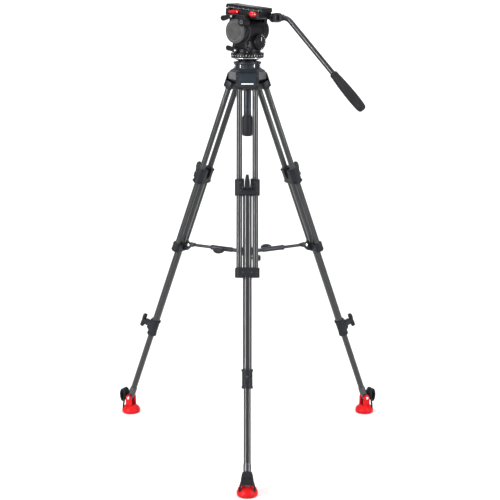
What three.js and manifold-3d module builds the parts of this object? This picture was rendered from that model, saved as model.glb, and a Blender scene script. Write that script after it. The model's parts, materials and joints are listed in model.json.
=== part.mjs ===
// Camera tripod with a fluid head, partly extended.
// Millimetres, +Z up, origin on the floor under the middle of the bounding box.
// Each leg is built in its own frame: x outward, y tangential, z up along the leg, origin on the hinge pin.
// The head is built in its own frame: x towards the operator, y to the operator's right, z up.
import * as THREE from 'three';
import { mergeVertices } from 'three/addons/utils/BufferGeometryUtils.js';
import Module from 'manifold-3d';

const wasm = await Module();
wasm.setup();

// Driving dimensions
const GAP = 0.35;                       // clearance between neighbouring solids
const LEG_AZIMUTHS = { front: -90, right: 30, left: 150 };
const SPREAD = THREE.MathUtils.degToRad(20.88);
const HINGE_RADIUS = 41;
const HINGE_HEIGHT = 1193.7;
const LEG_LENGTH = 1219.5;              // hinge pin to foot pin
const FOOT_RADIUS = HINGE_RADIUS + LEG_LENGTH * Math.sin(SPREAD);
const FOOT_HEIGHT = HINGE_HEIGHT - LEG_LENGTH * Math.cos(SPREAD);
const PAD_RADIUS = 31.6;
const AXIS_Y = FOOT_RADIUS / 4;         // the crown's axis in the part frame

const UPPER_TUBE_RADIUS = 9;
const UPPER_TUBE_SPACING = 24.5;        // each tube's distance from the leg's middle plane
const UPPER_TUBE_TOP = 17;
const UPPER_TUBE_BOTTOM = 620;
const KNUCKLE_RADIUS = 10.5;
const KNUCKLE_HALF_WIDTH = 17;
const HINGE_PIN_RADIUS = 4;
const HINGE_BLOCK_TOP = 14;
const HINGE_BLOCK_BOTTOM = 36;

const SLIDE_CLAMP = { top: 321, bottom: 371, halfWidth: 38.5 };
const LEVER_PIVOT = { x: 23.5, s: 349 };
const BASE_COLLAR = { top: 594, bottom: 624, halfWidth: 37.5 };
const EAR_PIVOT = { x: -32.1, s: 588.6 };
const MIDDLE_TUBE = { top: 350, bottom: 940, halfX: 12, halfY: 13.6 };
const LOWER_CLAMP = { top: 902, bottom: 958 };
const KNOB_S = 925;
const LOWER_TUBE = { top: 680, bottom: 1190, halfX: 10, halfY: 10.8 };

const ROD_RADIUS = 5;
const SLEEVE_RADIUS = 8;
const ROD_LENGTH = 95;
const HUB_EYE_RADIUS = 26;
const EAR_RADIUS = HINGE_RADIUS + EAR_PIVOT.s * Math.sin(SPREAD) + EAR_PIVOT.x * Math.cos(SPREAD);
const EAR_HEIGHT = HINGE_HEIGHT - EAR_PIVOT.s * Math.cos(SPREAD) + EAR_PIVOT.x * Math.sin(SPREAD);
const SLEEVE_NEAR = 84;                 // sleeve's outer end, measured from the ear pivot
const SLEEVE_EYE = EAR_RADIUS - HUB_EYE_RADIUS;
const SLEEVE_NECK = 30;                 // flat neck between the eye and the round sleeve
const WING_AT = 131;

const BALL_HEIGHT = 1240;               // centre of the levelling ball
const BALL_RADIUS = 36.6;
const BOWL_RADIUS = 37.7;
const CROWN_BOTTOM = 1187;
const CROWN_SHOULDER = 1212;
const HEAD_YAW = THREE.MathUtils.degToRad(-39);
const BASE_BOTTOM = 1252.4;
const TILT_HEIGHT = 1337;
const DRUM_RADIUS = 38;
const TILT = THREE.MathUtils.degToRad(5.5);   // the platform leans back towards the operator
const PLATE_TOP = 1413.5;
const BAR_BOSS = { x: 80, z: 1385 };    // on the platform before it leans
const PAN_BAR_PIVOT = {
  x: BAR_BOSS.x * Math.cos(TILT) + (BAR_BOSS.z - TILT_HEIGHT) * Math.sin(TILT),
  z: TILT_HEIGHT + (BAR_BOSS.z - TILT_HEIGHT) * Math.cos(TILT) - BAR_BOSS.x * Math.sin(TILT),
};
const PAN_BAR_Y = 42;
const PAN_BAR_CORNER = 40;              // clamp pivot to the corner of the bend
const PAN_BAR_SLOPE = THREE.MathUtils.degToRad(42.8);
const PAN_BAR_REACH = 387;              // straight length after the bend
const GRIP_LENGTH = 150;

// Materials
const finish = (color, roughness, metalness = 0) => new THREE.MeshStandardMaterial({ color, roughness, metalness });
const carbon = finish('#1d1e20', 0.35);
const clampPlastic = finish('#1b1c20', 0.5);
const castMetal = finish('#3a3e44', 0.5, 0.5);
const sidePlate = finish('#77797c', 0.55, 0.4);
const headBlack = finish('#17181b', 0.42, 0.3);
const red = finish('#e0161c', 0.45);
const steel = finish('#b9bcc0', 0.3, 1);
const rubber = finish('#141414', 0.8);

// Solids: geometries are joined and cut through their closed bodies
function toSolid(geometry) {
  const plain = geometry.clone();
  for (const name of ['normal', 'uv']) {
    plain.deleteAttribute(name);
  }
  const merged = mergeVertices(plain, 1e-4);
  const vertProperties = Float32Array.from(merged.attributes.position.array);
  const triVerts = Uint32Array.from(merged.index.array);
  return new wasm.Manifold(new wasm.Mesh({ numProp: 3, vertProperties, triVerts }));
}

function fromSolid(solid) {
  const { vertProperties, triVerts } = solid.getMesh();
  const geometry = new THREE.BufferGeometry();
  geometry.setAttribute('position', new THREE.BufferAttribute(new Float32Array(vertProperties), 3));
  geometry.setIndex(new THREE.BufferAttribute(new Uint32Array(triVerts), 1));
  return geometry;
}

function join(...geometries) {
  return fromSolid(geometries.map(toSolid).reduce((whole, next) => whole.add(next)));
}

function cut(body, ...tools) {
  return fromSolid(tools.map(toSolid).reduce((whole, next) => whole.subtract(next), toSolid(body)));
}

// Basic shapes, each given by where its faces lie
function box([x0, x1], [y0, y1], [z0, z1]) {
  const geometry = new THREE.BoxGeometry(x1 - x0, y1 - y0, z1 - z0);
  return geometry.translate((x0 + x1) / 2, (y0 + y1) / 2, (z0 + z1) / 2);
}

function rodX(radius, [x0, x1], y, z, sides = 14) {
  const geometry = new THREE.CylinderGeometry(radius, radius, x1 - x0, sides).rotateZ(-Math.PI / 2);
  return geometry.translate((x0 + x1) / 2, y, z);
}

function rodY(radius, [y0, y1], x, z, sides = 14) {
  const geometry = new THREE.CylinderGeometry(radius, radius, y1 - y0, sides);
  return geometry.translate(x, (y0 + y1) / 2, z);
}

function rodZ(radius, [z0, z1], x = 0, y = 0, sides = 16) {
  const geometry = new THREE.CylinderGeometry(radius, radius, z1 - z0, sides).rotateX(Math.PI / 2);
  return geometry.translate(x, y, (z0 + z1) / 2);
}

// An upright oval bar: half sizes in x and y, between two heights
function ovalZ(halfX, halfY, [z0, z1], sides = 16) {
  return rodZ(1, [z0, z1], 0, 0, sides).scale(halfX, halfY, 1);
}

// A turned shape about z from [radius, height] points that start and end on the axis
function turned(points, sides = 24) {
  const profile = points.map(([radius, z]) => new THREE.Vector2(radius, z));
  return new THREE.LatheGeometry(profile, sides).rotateX(Math.PI / 2);
}

// A flat outline in x and z, thick along y
function slab(points, [y0, y1]) {
  const outline = new THREE.Shape(points.map(([x, z]) => new THREE.Vector2(x, z)));
  const geometry = new THREE.ExtrudeGeometry(outline, { depth: y1 - y0, bevelEnabled: false });
  return geometry.rotateX(Math.PI / 2).translate(0, y1, 0);
}

function piece(name, geometry, material) {
  const flat = geometry.index ? geometry.toNonIndexed() : geometry.clone();
  flat.computeVertexNormals();
  const mesh = new THREE.Mesh(flat, material);
  mesh.name = name;
  return mesh;
}

// Leg parts, in the leg frame. A distance s down the leg is z = -s.
const span = (top, bottom) => [-bottom, -top];

function hingeBlock(leg) {
  const half = 36;
  const body = box([-14, 11.4], [-half, half], [-HINGE_BLOCK_BOTTOM, -HINGE_BLOCK_TOP]);
  const web = box([-9, 9], [-KNUCKLE_HALF_WIDTH, KNUCKLE_HALF_WIDTH], [-HINGE_BLOCK_TOP - 1, 0]);
  const knuckle = rodY(KNUCKLE_RADIUS, [-KNUCKLE_HALF_WIDTH, KNUCKLE_HALF_WIDTH], 0, 0);
  const outline = [[11, -HINGE_BLOCK_BOTTOM], [14, -HINGE_BLOCK_BOTTOM + 4], [14, 8], [11, 15]];
  const face = slab(outline, [-half, half]);
  const socket = (y) => rodZ(UPPER_TUBE_RADIUS + GAP, [-HINGE_BLOCK_BOTTOM - 1, -UPPER_TUBE_TOP + GAP], 0, y);
  const bore = rodY(HINGE_PIN_RADIUS + GAP, [-40, 40], 0, 0, 20);
  const block = join(body, web, knuckle, face);
  const hollow = cut(block, socket(-UPPER_TUBE_SPACING), socket(UPPER_TUBE_SPACING), bore);
  return piece(`hinge_block_${leg}`, hollow, castMetal);
}

function upperTube(leg, side, y) {
  const range = span(UPPER_TUBE_TOP, UPPER_TUBE_BOTTOM);
  const outer = rodZ(UPPER_TUBE_RADIUS, range, 0, y);
  const bore = rodZ(UPPER_TUBE_RADIUS - 1.5, [range[0] - 1, range[1] + 1], 0, y, 12);
  return piece(`upper_tube_${side}_${leg}`, cut(outer, bore), carbon);
}

function baseCollar(leg) {
  const { top, bottom, halfWidth } = BASE_COLLAR;
  const body = box([-15, 15], [-halfWidth, halfWidth], span(top, bottom));
  const arm = box([-38.6, -13], [-5, 5], span(top, bottom - 12));
  const neck = box([-38.6, -20], [-5, 5], span(EAR_PIVOT.s, top + 5));
  const tip = rodY(7, [-5, 5], EAR_PIVOT.x, -EAR_PIVOT.s);
  const bore = rodY(3, [-6, 6], EAR_PIVOT.x, -EAR_PIVOT.s, 16);
  const socket = (y) => rodZ(UPPER_TUBE_RADIUS + GAP, span(top - 1, UPPER_TUBE_BOTTOM + GAP), 0, y);
  const guide = ovalZ(MIDDLE_TUBE.halfX + GAP, MIDDLE_TUBE.halfY + GAP, span(top - 1, bottom + 1));
  const collar = join(body, arm, neck, tip);
  const hollow = cut(collar, bore, socket(-UPPER_TUBE_SPACING), socket(UPPER_TUBE_SPACING), guide);
  return piece(`base_collar_${leg}`, hollow, clampPlastic);
}

function slideClamp(leg) {
  const { top, bottom, halfWidth } = SLIDE_CLAMP;
  const notchDepth = 33;
  const body = box([-17, 19], [-halfWidth, halfWidth], span(top, bottom));
  const lug = (y) => box([17, 29], [y - 2.5, y + 2.5], span(LEVER_PIVOT.s - 7, LEVER_PIVOT.s + 8));
  const notch = box([-18, 20], [-9.5, 9.5], span(top - 1, top + notchDepth));
  const runner = (y) => rodZ(UPPER_TUBE_RADIUS + GAP, span(top - 1, bottom + 1), 0, y);
  const holdTop = MIDDLE_TUBE.top - GAP;
  const hold = ovalZ(MIDDLE_TUBE.halfX + GAP, MIDDLE_TUBE.halfY + GAP, span(holdTop, bottom + 1));
  const slot = box([19.3, 35], [-8.4, 8.4], span(LEVER_PIVOT.s - 8, bottom + 1));
  const clamp = join(body, lug(-11), lug(11));
  const tools = [notch, runner(-UPPER_TUBE_SPACING), runner(UPPER_TUBE_SPACING), hold, slot];
  return piece(`slide_clamp_${leg}`, cut(clamp, ...tools), clampPlastic);
}

function clampLever(leg) {
  const pivot = rodY(5, [-8, 8], LEVER_PIVOT.x, -LEVER_PIVOT.s);
  const outline = [[20.5, -351], [27.5, -351], [27, -334], [33.5, -312], [28.5, -312], [22, -334]];
  const blade = slab(outline, [-4.2, 4.2]);
  return piece(`clamp_lever_${leg}`, join(pivot, blade), clampPlastic);
}

function middleTube(leg) {
  const range = span(MIDDLE_TUBE.top, MIDDLE_TUBE.bottom);
  const outer = ovalZ(MIDDLE_TUBE.halfX, MIDDLE_TUBE.halfY, range);
  const bore = ovalZ(LOWER_TUBE.halfX + GAP, LOWER_TUBE.halfY + 1, [range[0] - 1, range[1] + 1]);
  return piece(`middle_tube_${leg}`, cut(outer, bore), carbon);
}

function lowerClamp(leg) {
  const { top, bottom } = LOWER_CLAMP;
  const body = ovalZ(17, 18, span(top, bottom));
  const boss = rodX(11, [8, 36], 0, -KNOB_S);
  const upperBore = ovalZ(MIDDLE_TUBE.halfX + GAP, MIDDLE_TUBE.halfY + GAP, span(top - 1, MIDDLE_TUBE.bottom + GAP));
  const lowerBore = ovalZ(LOWER_TUBE.halfX + GAP, LOWER_TUBE.halfY + GAP, span(top, bottom + 1));
  return piece(`lower_clamp_${leg}`, cut(join(body, boss), upperBore, lowerBore), clampPlastic);
}

function clampKnob(leg) {
  const hub = rodX(8, [36 + GAP, 44], 0, -KNOB_S);
  const bar = box([40, 51], [-9, 9], span(KNOB_S - 25, KNOB_S + 25));
  return piece(`clamp_knob_${leg}`, join(hub, bar), clampPlastic);
}

function lowerTube(leg) {
  const { top, bottom, halfX, halfY } = LOWER_TUBE;
  const outer = ovalZ(halfX, halfY, span(top, bottom));
  const bore = ovalZ(halfX - 1.6, halfY - 1.6, span(top - 1, bottom - 20));
  const ferrule = ovalZ(12, 12, span(1178, 1203));
  const tongueShape = [[-9, -1202], [9, -1202], [9, -1222], [2, -1240], [-2, -1240], [-9, -1222]];
  const tongue = slab(tongueShape, [-7.5, 7.5]);
  const pinBore = rodY(3 + GAP, [-9, 9], 0, -LEG_LENGTH, 16);
  return piece(`lower_tube_${leg}`, cut(join(outer, ferrule, tongue), bore, pinBore), carbon);
}

// Foot, upright, origin on the floor under the foot pin
function rubberFoot(leg) {
  const dome = [[0, 0], [28, 0], [PAD_RADIUS, 5], [PAD_RADIUS, 13], [27, 21], [18, 27], [0, 29]];
  const pad = turned(dome, 24);
  const ear = (y) => join(box([-11, 11], [y - 4, y + 4], [15, FOOT_HEIGHT]), rodY(11, [y - 4, y + 4], 0, FOOT_HEIGHT));
  const slot = box([-33, 33], [-8.3, 8.3], [FOOT_HEIGHT - 26, 60]);
  const pin = rodY(3, [-12, 12], 0, FOOT_HEIGHT, 16);
  const body = cut(join(pad, ear(-12.5), ear(12.5)), slot);
  return piece(`rubber_foot_${leg}`, join(body, pin), red);
}

// Spreader arm, horizontal, origin on the ear pivot, running to -x
function spreaderRod(leg) {
  const cheek = (y) => join(rodY(7, [y - 2, y + 2], 0, 0), box([-16, 0], [y - 2, y + 2], [-6, 6]));
  const web = box([-18, -10], [-9.4, 9.4], [-6, 6]);
  const pin = rodY(2.6, [-9, 9], 0, 0, 16);
  const rod = rodX(ROD_RADIUS, [-ROD_LENGTH, -12], 0, 0);
  return piece(`spreader_rod_${leg}`, join(cheek(-7.4), cheek(7.4), web, pin, rod), steel);
}

function spreaderSleeve(leg) {
  const tube = rodX(SLEEVE_RADIUS, [-SLEEVE_EYE + SLEEVE_NECK, -SLEEVE_NEAR], 0, 0);
  const bore = rodX(ROD_RADIUS + GAP, [-SLEEVE_EYE + SLEEVE_NECK + 4, -SLEEVE_NEAR + 1], 0, 0);
  const neck = box([-SLEEVE_EYE, -SLEEVE_EYE + SLEEVE_NECK + 2], [-5.4, 5.4], [-5.5, 5.5]);
  const eye = join(rodY(6.5, [-5.4, 5.4], -SLEEVE_EYE, 0), neck);
  const boss = rodY(6, [6, 26], -WING_AT, 0);
  const wing = rodY(1, [24, 42], 0, 0, 20).scale(18.5, 1, 9.5).translate(-WING_AT, 0, 0);
  const whole = join(tube, eye, boss, wing);
  return piece(`spreader_sleeve_${leg}`, cut(whole, bore), clampPlastic);
}

function makeLeg(leg, azimuth) {
  const radial = new THREE.Group();
  radial.rotation.z = THREE.MathUtils.degToRad(azimuth);

  const lean = new THREE.Group();
  lean.position.set(HINGE_RADIUS, 0, HINGE_HEIGHT);
  lean.rotation.y = -SPREAD;
  lean.add(hingeBlock(leg));
  lean.add(upperTube(leg, 'left', -UPPER_TUBE_SPACING));
  lean.add(upperTube(leg, 'right', UPPER_TUBE_SPACING));
  for (const make of [baseCollar, slideClamp, clampLever, middleTube, lowerClamp, clampKnob, lowerTube]) {
    lean.add(make(leg));
  }

  const foot = new THREE.Group();
  foot.position.set(FOOT_RADIUS, 0, 0);
  foot.add(rubberFoot(leg));

  const arm = new THREE.Group();
  arm.position.set(EAR_RADIUS, 0, EAR_HEIGHT);
  arm.add(spreaderRod(leg), spreaderSleeve(leg));

  radial.add(lean, foot, arm);
  return radial;
}

// Spreader hub: three open clevises around a core, at the height of the arms' inner eyes
function spreaderHub() {
  const core = rodZ(9, [-13, 3]);
  const cheeks = [];
  const slots = [];
  for (const azimuth of Object.values(LEG_AZIMUTHS)) {
    const turn = THREE.MathUtils.degToRad(azimuth);
    const side = [[0, -13], [20, -13], [30.5, -6], [30.5, 7], [24, 11], [0, 11]];
    cheeks.push(slab(side, [-9.4, 9.4]).rotateZ(turn));
    slots.push(box([9, 34], [-5.9, 5.9], [-14, 13]).rotateZ(turn));
  }
  const well = rodZ(19, [4, 13]);
  const hub = piece('spreader_hub', cut(join(core, ...cheeks), ...slots, well), clampPlastic);
  hub.position.z = EAR_HEIGHT;
  return hub;
}

// Crown: a six-sided casting with the bowl on top and a pair of cheeks for each leg
function crownCasting() {
  const hexagon = (radius, range) => rodZ(radius, range, 0, 0, 6).rotateZ(Math.PI / 6);
  const shoulder = new THREE.CylinderGeometry(43, 61, 11, 6).rotateX(Math.PI / 2).rotateZ(Math.PI / 6);
  shoulder.translate(0, 0, CROWN_SHOULDER + 5.5);
  const neck = rodZ(41, [CROWN_SHOULDER, 1236]);
  const rim = rodZ(43.5, [1235, 1241.6]);
  const body = join(hexagon(61, [CROWN_BOTTOM, CROWN_SHOULDER]), shoulder, neck, rim);

  const bowl = new THREE.SphereGeometry(BOWL_RADIUS, 24, 14).translate(0, 0, BALL_HEIGHT);
  const mouth = rodZ(BOWL_RADIUS, [BALL_HEIGHT, 1243], 0, 0, 24);
  const throat = rodZ(24, [1200, 1225]);
  const below = new THREE.CylinderGeometry(24, 33, 26, 24).rotateX(Math.PI / 2).translate(0, 0, 1196);
  let casting = cut(body, bowl, mouth, throat, below);

  for (const azimuth of Object.values(LEG_AZIMUTHS)) {
    const turn = THREE.MathUtils.degToRad(azimuth);
    const inner = KNUCKLE_HALF_WIDTH + GAP;
    const cheek = (y) => rodY(KNUCKLE_RADIUS - 0.4, [y - 6, y + 6], HINGE_RADIUS, HINGE_HEIGHT).rotateZ(turn);
    const pocket = box([HINGE_RADIUS - 12, 80], [-inner, inner], [1170, HINGE_HEIGHT + 12]).rotateZ(turn);
    const front = box([HINGE_RADIUS + 4.2, 80], [-36.6, 36.6], [1170, CROWN_SHOULDER + 1.8]).rotateZ(turn);
    const pin = rodY(HINGE_PIN_RADIUS, [-24, 24], HINGE_RADIUS, HINGE_HEIGHT, 20).rotateZ(turn);
    casting = join(cut(casting, pocket, front), cheek(-inner - 6), cheek(inner + 6), pin);
  }
  return piece('crown_casting', casting, castMetal);
}

function halfBall() {
  const arc = [];
  const steps = 4;
  const low = -Math.asin(26 / BALL_RADIUS);
  for (let i = 0; i <= steps; i += 1) {
    const angle = low * (1 - i / steps);
    arc.push([BALL_RADIUS * Math.cos(angle), BALL_HEIGHT + BALL_RADIUS * Math.sin(angle)]);
  }
  const profile = [[0, BALL_HEIGHT - 26], ...arc, [35.2, 1243.5], [29, 1243.5], [29, 1245.5], [46, 1251.9], [0, 1251.9]];
  return piece('half_ball', turned(profile), castMetal);
}

function tieDownHandle() {
  const profile = [
    [0, 1008], [13, 1008], [16.5, 1014], [17, 1062], [15, 1071], [12, 1075],
    [12, 1166], [7, 1170], [7, 1213.6], [0, 1213.6],
  ];
  return piece('tie_down_handle', turned(profile, 24), clampPlastic);
}

// Head parts, in the head frame
function panBase() {
  const core = turned([[0, BASE_BOTTOM], [48, BASE_BOTTOM], [51, 1254], [51, 1256], [44, 1256], [44, 1270], [0, 1270]]);
  return piece('pan_base', core, headBlack);
}

function panDragRing() {
  const ring = rodZ(52, [1256.4, 1269.6], 0, 0, 28);
  return piece('pan_drag_ring', cut(ring, rodZ(44.5, [1250, 1275], 0, 0, 24)), headBlack);
}

function panLockLever() {
  const spindle = rodY(3, [-45, -36], -8, 1278, 16);
  const hub = rodY(7, [-52, -43], -8, 1278);
  const arm = slab([[-8, 1272], [-8, 1284], [-34, 1292], [-44, 1291], [-46, 1282], [-40, 1276.5], [-26, 1275]], [-52, -45]);
  return piece('pan_lock_lever', join(spindle, hub, arm), headBlack);
}

function tiltHousing() {
  const disc = rodZ(42, [1270.4, 1284], 0, 0, 24);
  const turret = box([-30, 30], [-34, 38], [1280, TILT_HEIGHT]);
  const drum = rodY(DRUM_RADIUS, [-36, 46], 0, TILT_HEIGHT, 24);
  const dialBoss = rodX(24, [10, 42], 8, 1303);
  const leverBore = rodY(3 + GAP, [-46, -35.6], -8, 1278, 16);
  const axleBore = (range) => rodY(10 + GAP, range, 0, TILT_HEIGHT);
  const dialBore = rodX(4 + GAP, [33.6, 43], 8, 1303, 16);
  const body = join(disc, turret, drum, dialBoss);
  const hollow = cut(body, leverBore, axleBore([-37, -24]), axleBore([34, 47]), dialBore);
  return piece('tilt_housing', hollow, headBlack);
}

function counterbalanceDial() {
  const dial = join(rodX(25, [42.4, 50], 8, 1303, 24), rodX(4, [34, 43], 8, 1303, 16));
  return piece('counterbalance_dial', dial, headBlack);
}

function platform() {
  const deck = box([-66, 64], [-33, 33], [1378, 1400]);
  const channel = box([-67, 96], [-22, 22], [1396, 1401]);
  const cheek = (y0, y1, radius) => join(
    rodY(radius, [y0, y1], 0, TILT_HEIGHT, 24),
    box([-26, 26], [y0, y1], [TILT_HEIGHT, 1386]),
  );
  const bridge = box([-26, 26], [-58, 62], [1378, 1386]);
  const axles = join(rodY(10, [-48, -24.4], 0, TILT_HEIGHT), rodY(10, [34.4, 50], 0, TILT_HEIGHT));
  const barBoss = join(
    rodY(14, [18, 31.2], BAR_BOSS.x, BAR_BOSS.z),
    box([60, 80], [18, 31.2], [1378, 1396]),
  );
  const buttonPocket = box([-49, -11], [-34, -24], [1387, 1401]);
  const leverBore = rodY(3 + GAP, [-34, -24], 44, 1394, 16);
  const dialBore = rodY(3 + GAP, [-59, -48], 26, 1368, 16);
  const lockBore = rodY(3 + GAP, [-59, -48], -14, 1380, 16);
  const screwBore = rodY(4 + GAP, [17, 32], BAR_BOSS.x, BAR_BOSS.z, 16);
  const dialBoss = rodY(13, [-58, -40], 26, 1368);
  const body = join(deck, cheek(-58, -37, 38.5), cheek(46.6, 62, 38.5), bridge, axles, barBoss, dialBoss);
  return piece('platform', cut(body, channel, buttonPocket, leverBore, dialBore, lockBore, screwBore), headBlack);
}

function sideCover() {
  const disc = turned([[0, 0], [37, 0], [37, 3], [33, 5.2], [0, 5.2]], 24).rotateX(Math.PI / 2);
  disc.translate(0, -58.3, TILT_HEIGHT);
  const dialRoom = rodY(13.4, [-70, -57], 26, 1368);
  return piece('side_cover', cut(disc, dialRoom), sidePlate);
}

function tiltDragDial() {
  const dial = join(rodY(12.5, [-66, -58.4], 26, 1368), rodY(3, [-60, -50], 26, 1368, 16));
  return piece('tilt_drag_dial', dial, headBlack);
}

function tiltLockLever() {
  const spindle = rodY(3, [-60, -50], -14, 1380, 16);
  const hub = rodY(6, [-66, -58.4], -14, 1380.5);
  const arm = slab([[-14, 1374.5], [-14, 1386], [-46, 1381], [-55, 1378], [-56, 1367], [-50, 1363], [-38, 1365]], [-68, -59]);
  return piece('tilt_lock_lever', join(spindle, hub, arm), headBlack);
}

function cameraPlate() {
  const deck = slab([[-72, 1401], [-70, PLATE_TOP], [70, PLATE_TOP], [72, 1401]], [-27, 27]);
  const tongue = box([-66, 66], [-21.6, 21.6], [1396.4, 1403]);
  const slot = box([-28, 28], [-3.6, 3.6], [1390, PLATE_TOP + 1]);
  const headRoom = box([-34, 34], [-8, 8], [1390, 1404]);
  return piece('camera_plate', cut(join(deck, tongue), slot, headRoom), headBlack);
}

function cameraScrew() {
  return piece('camera_screw', join(rodZ(7, [1397, 1403]), rodZ(3.1, [1402, PLATE_TOP - 0.4], 0, 0, 16)), steel);
}

function plateReleaseButton() {
  return piece('plate_release_button', box([-48, -12], [-42, -28], [1388, 1398.4]), red);
}

function plateLockLever() {
  const spindle = rodY(3, [-36, -26], 44, 1394, 16);
  const hub = rodY(8, [-43, -33.4], 44, 1394);
  const arm = slab([[44, 1387], [44, 1401], [60, 1398], [60, 1391]], [-43, -36]);
  return piece('plate_lock_lever', join(spindle, hub, arm), red);
}

function panBarClamp() {
  const { x, z } = PAN_BAR_PIVOT;
  const rosette = rodY(15, [31.6, 52.6], x, z);
  const socket = box([x, x + 22], [31.6, 52.6], [z - 10.5, z + 10.5]);
  const tubeBore = rodX(8 + GAP, [x + 10, x + 23], PAN_BAR_Y, z);
  const screwBore = rodY(4 + GAP, [30, 54], x, z, 16);
  return piece('pan_bar_clamp', cut(join(rosette, socket), tubeBore, screwBore), headBlack);
}

function panBarScrew() {
  const { x, z } = PAN_BAR_PIVOT;
  const stem = rodY(4, [20, 54], x, z, 16);
  const grip = join(rodY(7, [53, 60], x, z), box([x - 17, x + 17], [59, 67], [z - 5, z + 5]));
  return piece('pan_bar_screw', join(stem, grip), headBlack);
}

// The pan bar's centre line: straight out of the clamp, one bend, then straight down to the grip
function panBarEnd(distance) {
  const bendX = PAN_BAR_PIVOT.x + PAN_BAR_CORNER;
  return new THREE.Vector3(
    bendX + distance * Math.cos(PAN_BAR_SLOPE),
    PAN_BAR_Y,
    PAN_BAR_PIVOT.z - distance * Math.sin(PAN_BAR_SLOPE),
  );
}

function panBar() {
  const { x, z } = PAN_BAR_PIVOT;
  const bend = 17;
  const corner = x + PAN_BAR_CORNER;
  const start = new THREE.Vector3(x + 11, PAN_BAR_Y, z);
  const before = new THREE.Vector3(corner - bend, PAN_BAR_Y, z);
  const path = new THREE.CurvePath();
  path.add(new THREE.LineCurve3(start, before));
  path.add(new THREE.QuadraticBezierCurve3(before, new THREE.Vector3(corner, PAN_BAR_Y, z), panBarEnd(bend)));
  path.add(new THREE.LineCurve3(panBarEnd(bend), panBarEnd(PAN_BAR_REACH - 8)));
  const section = new THREE.Shape().absarc(0, 0, 8, 0, 2 * Math.PI);
  const options = { steps: 30, curveSegments: 6, bevelEnabled: false, extrudePath: path };
  return piece('pan_bar', new THREE.ExtrudeGeometry(section, options), carbon);
}

function panBarGrip() {
  const profile = [
    [0, 0], [10, 0], [14, 5], [15.5, 20], [16, 60], [14.5, 110], [13, GRIP_LENGTH - 6], [11, GRIP_LENGTH], [0, GRIP_LENGTH],
  ];
  const bore = rodZ(8 + GAP, [7, GRIP_LENGTH + 1]);
  const grip = cut(turned(profile, 24), bore);
  grip.rotateY(PAN_BAR_SLOPE - Math.PI / 2);
  const end = panBarEnd(PAN_BAR_REACH);
  return piece('pan_bar_grip', grip.translate(end.x, end.y, end.z), rubber);
}

// Everything that tilts, turned back about the tilt axis
function makePlatform() {
  const level = new THREE.Group();
  level.position.z = -TILT_HEIGHT;
  const makers = [
    platform, sideCover, tiltDragDial, tiltLockLever, cameraPlate, cameraScrew, plateReleaseButton, plateLockLever,
  ];
  for (const make of makers) {
    level.add(make());
  }
  const lean = new THREE.Group();
  lean.position.z = TILT_HEIGHT;
  lean.rotation.y = TILT;
  lean.add(level);
  return lean;
}

function makeHead() {
  const head = new THREE.Group();
  head.rotation.z = HEAD_YAW;
  const makers = [
    panBase, panDragRing, panLockLever, tiltHousing, counterbalanceDial, makePlatform, panBarClamp, panBarScrew,
    panBar, panBarGrip,
  ];
  for (const make of makers) {
    head.add(make());
  }
  return head;
}

const tripod = new THREE.Group();
tripod.position.y = AXIS_Y;
tripod.add(crownCasting(), halfBall(), tieDownHandle(), spreaderHub(), makeHead());
for (const [leg, azimuth] of Object.entries(LEG_AZIMUTHS)) {
  tripod.add(makeLeg(leg, azimuth));
}

export default tripod;
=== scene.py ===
"""The looks of a camera tripod with a fluid head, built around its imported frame.

Shapes are made in millimetres in a local frame and placed by the frame's own joints:
- leg frame: x outward, y tangential, z up along the leg, origin on the hinge pin
- foot and arm frames: x outward, y tangential, z up
- head frame: x towards the operator, y to the operator's right, z up, origin on the floor under the pan axis
- platform frame: the head frame leaned about the tilt axis
"""

import json
import math

import bmesh
import bpy
from mathutils import Matrix, Vector


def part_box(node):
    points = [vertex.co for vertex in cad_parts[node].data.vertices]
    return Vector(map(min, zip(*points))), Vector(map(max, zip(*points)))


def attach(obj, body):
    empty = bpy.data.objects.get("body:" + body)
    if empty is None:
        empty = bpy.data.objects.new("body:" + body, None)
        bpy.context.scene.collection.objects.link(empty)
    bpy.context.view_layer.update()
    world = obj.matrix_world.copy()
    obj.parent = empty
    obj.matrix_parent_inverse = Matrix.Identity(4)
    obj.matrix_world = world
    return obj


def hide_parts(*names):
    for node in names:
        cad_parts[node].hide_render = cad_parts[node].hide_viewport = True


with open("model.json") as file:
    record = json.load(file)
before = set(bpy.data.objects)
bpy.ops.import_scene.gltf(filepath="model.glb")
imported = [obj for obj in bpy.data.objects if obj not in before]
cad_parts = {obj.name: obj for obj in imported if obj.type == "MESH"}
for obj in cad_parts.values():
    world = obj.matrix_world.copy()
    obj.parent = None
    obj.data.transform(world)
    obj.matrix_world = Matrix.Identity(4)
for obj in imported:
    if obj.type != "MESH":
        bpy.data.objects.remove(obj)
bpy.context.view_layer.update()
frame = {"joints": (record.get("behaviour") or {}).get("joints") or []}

MM = 0.001
LEGS = ("front", "right", "left")
LEG_AZIMUTHS = (-90, 30, 150)
TUBE_SIDES = (-24.5, 24.5)
HUB_EYE_RADIUS = 26.0
WING_X = -131.0
UPPER_TUBE = {"radius": 9.0, "top": 17.0, "bottom": 620.0}
MIDDLE_TUBE = {"half_x": 12.0, "half_y": 13.6, "top": 350.0, "bottom": 940.0}
LOWER_TUBE = {"half_x": 10.0, "half_y": 10.8, "top": 680.0, "bottom": 1190.0}
FOOT_PIN_S = 1219.5
FOOT_PIN_HEIGHT = 54.3
EAR_PIVOT = (-32.1, 0, -588.6)
LEVER_PIVOT = (23.5, 0, -349.0)
BALL_HEIGHT = 1240.0
TILT_HEIGHT = 1337.0
TILT_AXIS = (0, 0, TILT_HEIGHT)
DRAG_DIAL = (26, 0, 1368)
BALANCE_DIAL = (0, 8, 1303)
PLATE_TOP = 1413.5
BAR_CORNER = 40.0
BAR_SLOPE = math.radians(42.8)
BAR_REACH = 387.0


# ---------------------------------------------------------------- frames

def joint(name):
    return next(j for j in frame["joints"] if j["name"] == name)


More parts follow.
